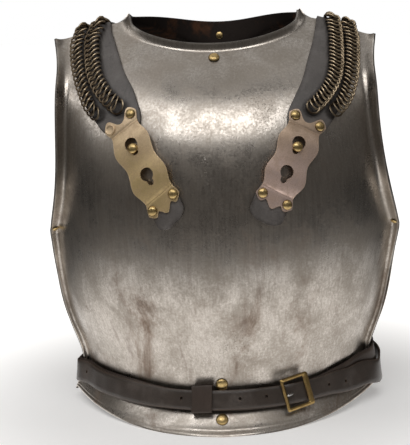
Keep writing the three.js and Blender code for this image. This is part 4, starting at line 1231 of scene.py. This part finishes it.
inner_stations = [
    seated(back, -104, INNER_LIE, 14), seated(back, -126, INNER_LIE, 14), seated(back, -144, INNER_LIE, 14.5),
    beside_hip(-161.7, 13, 36, -0.85, 0.5, 13), beside_hip(-165.3, 2, 35, -1, 0.1, 13),
    beside_hip(-165, -9, 35.5, -1, -0.25, 13),
]
inner_stations += [seated(breast, x, INNER_LIE, 12.8, -0.5) for x in (-150, -138, -118, -90)]
inner_stations += [seated(breast, x, INNER_LIE, 10.8, -1.5) for x in (-55, -20, 20, 60, 90)]
inner_stations += [
    seated(breast, 118, INNER_LIE, 13), seated(breast, 136, INNER_LIE, 13.5, 3),
    seated(breast, 149, INNER_LIE, 13, 6),
    beside_hip(166.4, -9, 47, 1, -0.25, 13), beside_hip(166.4, 2, 51, 1, 0.1, 13),
    beside_hip(164.3, 13, 51.5, 0.85, 0.5, 12.5), seated(back, 145, INNER_LIE + 0.6, 13.5, 12),
    seated(back, 124, INNER_LIE, 13.5, 16), seated(back, 104, INNER_LIE, 13.5, 17),
]
band("belt_inner_leather", inner_stations, INNER_THICK, 420, inner_hide, "belt_inner", 31)

outer_stations = [
    seated(back, -140, OUTER_LIE, 11.5), beside_hip(-164.3, 14.8, 36, -0.85, 0.5, 11.5),
    beside_hip(-168.1, 2, 34.5, -1, 0.1, 11.5), beside_hip(-167.7, -10, 35, -1, -0.25, 12),
]
outer_stations += [seated(breast, x, OUTER_LIE + 0.5, 11.2, -0.5) for x in (-150, -138, -118, -90)]
outer_stations += [
    seated(breast, x, outer_lie(x), 10.3, -1.2) for x in (-55, -20, 12, 40, 57, 66, 72, 77, 84, 92, 102)
]
outer_stations += [
    seated(breast, 118, OUTER_LIE, 12, -2.5), seated(breast, 134, OUTER_LIE + 1.3, 12.5, -6),
    seated(breast, 149, OUTER_LIE + 3, 13, -9), beside_hip(171.5, -12, 29.5, 1, -0.4, 13),
    beside_hip(173.4, 6, 33, 1, 0.2, 13), beside_hip(167.5, 22, 42, 0.8, 0.6, 12.5),
    seated(back, 140, OUTER_LIE + 2.4, 12.5, 12),
    seated(back, 110, OUTER_LIE + 1, 12.5, 19),
]
belt_outer = band("belt_outer_leather", outer_stations, OUTER_THICK, 460, belt_hide, "belt_outer", 37)


def waist_frame(x, height, turn=0.0):
    """A place on the belt, with the ways along it, up it and off it."""
    middle, away, up = waist_seat(breast, x)
    across = unit(np.cross(up, away))
    ways = across * math.cos(turn) + up * math.sin(turn), up * math.cos(turn) - across * math.sin(turn)
    return middle + away * height, ways[0], ways[1], away


# across the belt, and how far below its middle each hole sits
BELT_HOLES = ((-149, 0), (-40, 0), (19, 0), (45.6, 0), (110, 1.5), (127.5, 4.5))
HOLE_RADIUS = 1.7


def punch_holes(belt):
    ring = np.linspace(0, 2 * math.pi, 14, endpoint=False)
    for x, drop in BELT_HOLES:
        place, across, up, away = waist_frame(x, OUTER_LIE + 1)
        outline = [(HOLE_RADIUS * math.cos(a), HOLE_RADIUS * math.sin(a)) for a in ring]
        flat = np.array([place + u * across + (v - drop) * up for u, v in outline])
        punch = sheet("belt_punch", np.stack([flat - 3 * away, flat + 5 * away]), wrap=True, caps=True)
        finish_with(belt, "BOOLEAN", object=punch, operation="DIFFERENCE", solver="EXACT")
        bpy.data.objects.remove(punch)
    smooth(belt, 50)


punch_holes(belt_outer)

for side, sign in (("left", -1), ("right", 1)):
    on_left = sign < 0
    middle, away, _ = waist_seat(back, sign * 113, 0 if on_left else 18)
    lie = (INNER_LIE + INNER_THICK if on_left else OUTER_LIE + OUTER_THICK + 2) + 0.2
    rivet(f"belt_rivet_{side}", middle + away * lie, away, 5, 3.4)


def rounded_rectangle(half_wide, half_high, radius, steps=6):
    corners = []
    for centre_x, centre_y, start in (
        (half_wide - radius, half_high - radius, 0), (radius - half_wide, half_high - radius, 90),
        (radius - half_wide, radius - half_high, 180), (half_wide - radius, radius - half_high, 270),
    ):
        for a in np.radians(np.linspace(start, start + 90, steps)):
            corners.append((centre_x + radius * math.cos(a), centre_y + radius * math.sin(a)))
    return corners


KEEPER_AT, KEEPER_HALF = -18.5, 11
KEEPER_SPARE = 2.6


def belt_keeper():
    """The sliding loop round both layers of the belt, a little askew and waved in front."""
    low, high = INNER_LIE - KEEPER_SPARE, OUTER_LIE + OUTER_THICK + KEEPER_SPARE
    outline = rounded_rectangle((high - low) / 2, 14.6, 1.6)
    centre, across, up, away = waist_frame(KEEPER_AT, (low + high) / 2)
    rows = []
    for along in np.linspace(-KEEPER_HALF, KEEPER_HALF, 34):
        wave = 0.12 * math.sin(along * 0.4)
        rise = 0.27 * along / KEEPER_HALF
        rows.append(
            [
                centre + across * (along + 0.028 * v) + away * (u + (wave if u > 0 else 0)) + up * (v + rise)
                for u, v in outline
            ]
        )
    piece = sheet("belt_keeper_loop", np.array(rows), wrap=True)
    finish_with(piece, "SOLIDIFY", thickness=1.5 * MM, offset=-1.0)
    places = np.array([v.co for v in piece.data.vertices])
    from_end = KEEPER_HALF - np.abs(((places - placed(centre)) @ across) / MM)
    mark(piece, "from_edge", np.maximum(0, from_end))
    finish_with(piece, "BEVEL", width=0.0004, segments=2, limit_method="ANGLE", angle_limit=math.radians(60))
    smooth(piece, 50)
    return hand_over(piece, inner_hide, "belt_leather", "belt_keeper")


belt_keeper()

BUCKLE_LIE = OUTER_LIE + OUTER_THICK + 2.2
BUCKLE_HALF_WIDTH, BUCKLE_HALF_HEIGHT = 16.6, 17.8


def buckle_outline(inset, steps=14):
    """The frame's outline with rounded corners, its far side bowed out."""
    w, h = BUCKLE_HALF_WIDTH - inset, BUCKLE_HALF_HEIGHT - inset
    corner = max(0.8, 2.2 - inset * 0.4)
    outline = rounded_rectangle(w, h, corner, steps)
    return [(x + (2.6 * (1 - (y / h) ** 2) if x > 0 else 0) * min(1, abs(x) / w), y) for x, y in outline]


def ring_walk(inset, count=160):
    """Places round an outline, evenly apart, so that nested outlines match."""
    line = np.array(buckle_outline(inset) + buckle_outline(inset)[:1])
    angle = np.unwrap(np.arctan2(line[:, 1], line[:, 0]))
    wanted = np.linspace(angle[0], angle[0] + 2 * math.pi, count, endpoint=False)
    return np.stack([np.interp(wanted, angle, line[:, k]) for k in range(2)], 1)


def buckle_frame():
    """A cast frame, bevelled to both sides of each bar, broad on its bowed side."""
    centre, across, up, away = waist_frame(BUCKLE_X, BUCKLE_LIE, BUCKLE_TURN)
    section = [
        (0.5, -0.9), (0.0, -0.2), (0.0, 0.8), (0.7, 1.7), (1.9, 2.3), (3.1, 1.7), (3.8, 0.8), (3.8, -0.2),
        (3.3, -0.9),
    ]
    columns = []
    for inset, lift in section:
        walk = ring_walk(inset)
        broad = np.clip(walk[:, 0] / 14, 0, 1) ** 2 * 2.6 * (inset / 3.8)
        walk = walk - np.stack([broad, 0 * broad], 1)
        columns.append(centre + walk[:, :1] * across + walk[:, 1:] * up + lift * away)
    rows = np.stack(columns, 1)
    rows = np.concatenate([rows, rows[:1]])
    piece = sheet("buckle_frame_casting", rows, wrap=True)
    edit(piece, merge(), face_out)
    places = np.array([v.co for v in piece.data.vertices])
    lift = ((places - placed(centre)) @ away) / MM
    mark(piece, "from_edge", np.clip(2.3 - lift, 0, 3))
    smooth(piece, 32)
    return hand_over(piece, buckle_brass, "buckle", "buckle_frame")


def tube(name, centre_line, radius, lean_to, sides=12):
    """A round rod along points, its ends closed."""
    route = Route(centre_line)
    share = np.linspace(0, 1, 28)
    place, way = route.at(share), route.way(share)
    up = unit(lean_to - way * (way @ lean_to)[:, None])
    aside = np.cross(way, up)
    taper = radius * np.minimum(1, 0.55 + 3.5 * np.minimum(share, 1 - share))
    rows = [
        place + (up * math.cos(a) + aside * math.sin(a)) * taper[:, None]
        for a in np.linspace(0, 2 * math.pi, sides, endpoint=False)
    ]
    return sheet(name, np.stack(rows, 1), wrap=True, caps=True)


def buckle_prong():
    """The short rod that comes through the belt and bears on the frame's side."""
    centre, across, up, away = waist_frame(BUCKLE_X, 0, BUCKLE_TURN)
    bends = [(-5.2, 7.4), (-5.6, 9.4), (-7.4, 12.0), (-10.5, 13.6), (-14.6, 13.6)]
    line = [centre + along * across + lift * away for along, lift in bends]
    piece = tube("buckle_prong_rod", line, 1.15, up)
    mark(piece, "from_edge", [1.0] * len(piece.data.vertices))
    smooth(piece, 50)
    return hand_over(piece, prong_steel, "prong", "buckle_prong")


buckle_frame()
buckle_prong()

# ---- Floor, light and camera -------------------------------------------------------------

bpy.ops.object.select_all(action="DESELECT")
bpy.ops.mesh.primitive_plane_add(size=1)
floor = bpy.context.object
floor.name = "floor"
floor.data.transform(Matrix.Translation((0, 3.5, 0)) @ Matrix.Diagonal((9.0, 8.4, 1, 1)))
floor_paint, floor_shader, t, place = material("floor_paint", 0.0)
floor_shader["Roughness"].default_value = 0.6
cloud = t.noise(place, 3.0, 2.0, 0.5)
away = t.add("VectorMath", {0: place}, out="Value", operation="LENGTH")
seen = t.add("LightPath", out="Is Camera Ray")
unseen = t.math("SUBTRACT", 1.0, seen)
shaded = t.math("MULTIPLY", unseen, t.between(away, 0.3, 0.7))
t.feed(floor_shader["Base Color"], t.blend(shaded, rgb(0.84, 0.84, 0.84), rgb(0.1, 0.1, 0.1)))
paper = t.math("ADD", 0.97, t.math("MULTIPLY", cloud, 0.05))
lit = t.between(away, 0.17, 0.55, 0.30, 1.0)
bounce = t.between(away, 0.65, 0.3, 0.0, 0.7)
backdrop_glow = t.math("MULTIPLY", seen, t.math("MULTIPLY", paper, lit))
glow = t.math("ADD", backdrop_glow, t.math("MULTIPLY", unseen, bounce))
floor_shader["Emission Color"].default_value = rgb(1.0, 0.985, 0.965)
t.feed(floor_shader["Emission Strength"], glow)
floor.data.materials.append(floor_paint)


def softbox(name, place, aim, size, power):
    light = bpy.data.lights.new(name, "AREA")
    light.shape = "RECTANGLE"
    light.size, light.size_y = size
    light.energy = power
    lamp = bpy.data.objects.new(name, light)
    bpy.context.scene.collection.objects.link(lamp)
    lamp.location = place
    lamp.rotation_mode = "QUATERNION"
    lamp.rotation_quaternion = (Vector(aim) - Vector(place)).to_track_quat("-Z", "Y")
    return lamp


softbox("key_softbox", (-0.05, -1.25, 1.75), (0, 0, 0.25), (1.9, 0.8), 17)
softbox("left_high_softbox", (-1.3, -0.45, 1.9), (0, 0, 0.2), (1.0, 0.9), 4.2)
softbox("left_softbox", (-1.6, -0.55, 1.0), (0, 0, 0.3), (0.7, 0.5), 2.0)
softbox("right_softbox", (1.6, -0.3, 1.3), (0, 0, 0.3), (0.6, 0.8), 1.1)
softbox("top_softbox", (0, 0.7, 2.4), (0, 0.2, 0), (2.6, 2.2), 9)

world = bpy.data.worlds.new("studio")
world.use_nodes = True
bpy.context.scene.world = world
sky = Tree(world.node_tree)
seen = sky.add("LightPath", out="Is Camera Ray")
room = sky.add("Background", {"Color": rgb(0.085, 0.08, 0.075), "Strength": 1.0})
backdrop = sky.add("Background", {"Color": rgb(1, 1, 1), "Strength": 1.0})
both = sky.add("MixShader", {0: seen, 1: room, 2: backdrop})
world.node_tree.links.new(both, world.node_tree.nodes["World Output"].inputs["Surface"])
bpy.context.scene.view_settings.view_transform = "Standard"

CAMERA_PLACE = Vector((0.07665, -1.47366, 0.48014))
CAMERA_AIM = Vector((-0.0032, 0.02485, 0.220))
CAMERA_ROLL = math.radians(-1.84)
ahead = (CAMERA_AIM - CAMERA_PLACE).normalized()
level = ahead.cross(Vector((0, 0, 1))).normalized()
upright = level.cross(ahead)
right = level * math.cos(CAMERA_ROLL) + upright * math.sin(CAMERA_ROLL)
above = upright * math.cos(CAMERA_ROLL) - level * math.sin(CAMERA_ROLL)
lens = bpy.data.cameras.new("camera")
lens.sensor_fit, lens.sensor_width, lens.lens = "HORIZONTAL", 36, 119.73
lens.shift_x, lens.shift_y = -0.0392, -0.0439
lens.clip_start, lens.clip_end = 0.05, 50
camera = bpy.data.objects.new("camera", lens)
bpy.context.scene.collection.objects.link(camera)
camera.matrix_world = Matrix.Translation(CAMERA_PLACE) @ Matrix((right, above, -ahead)).transposed().to_4x4()
bpy.context.scene.camera = camera

bpy.ops.object.select_all(action="DESELECT")
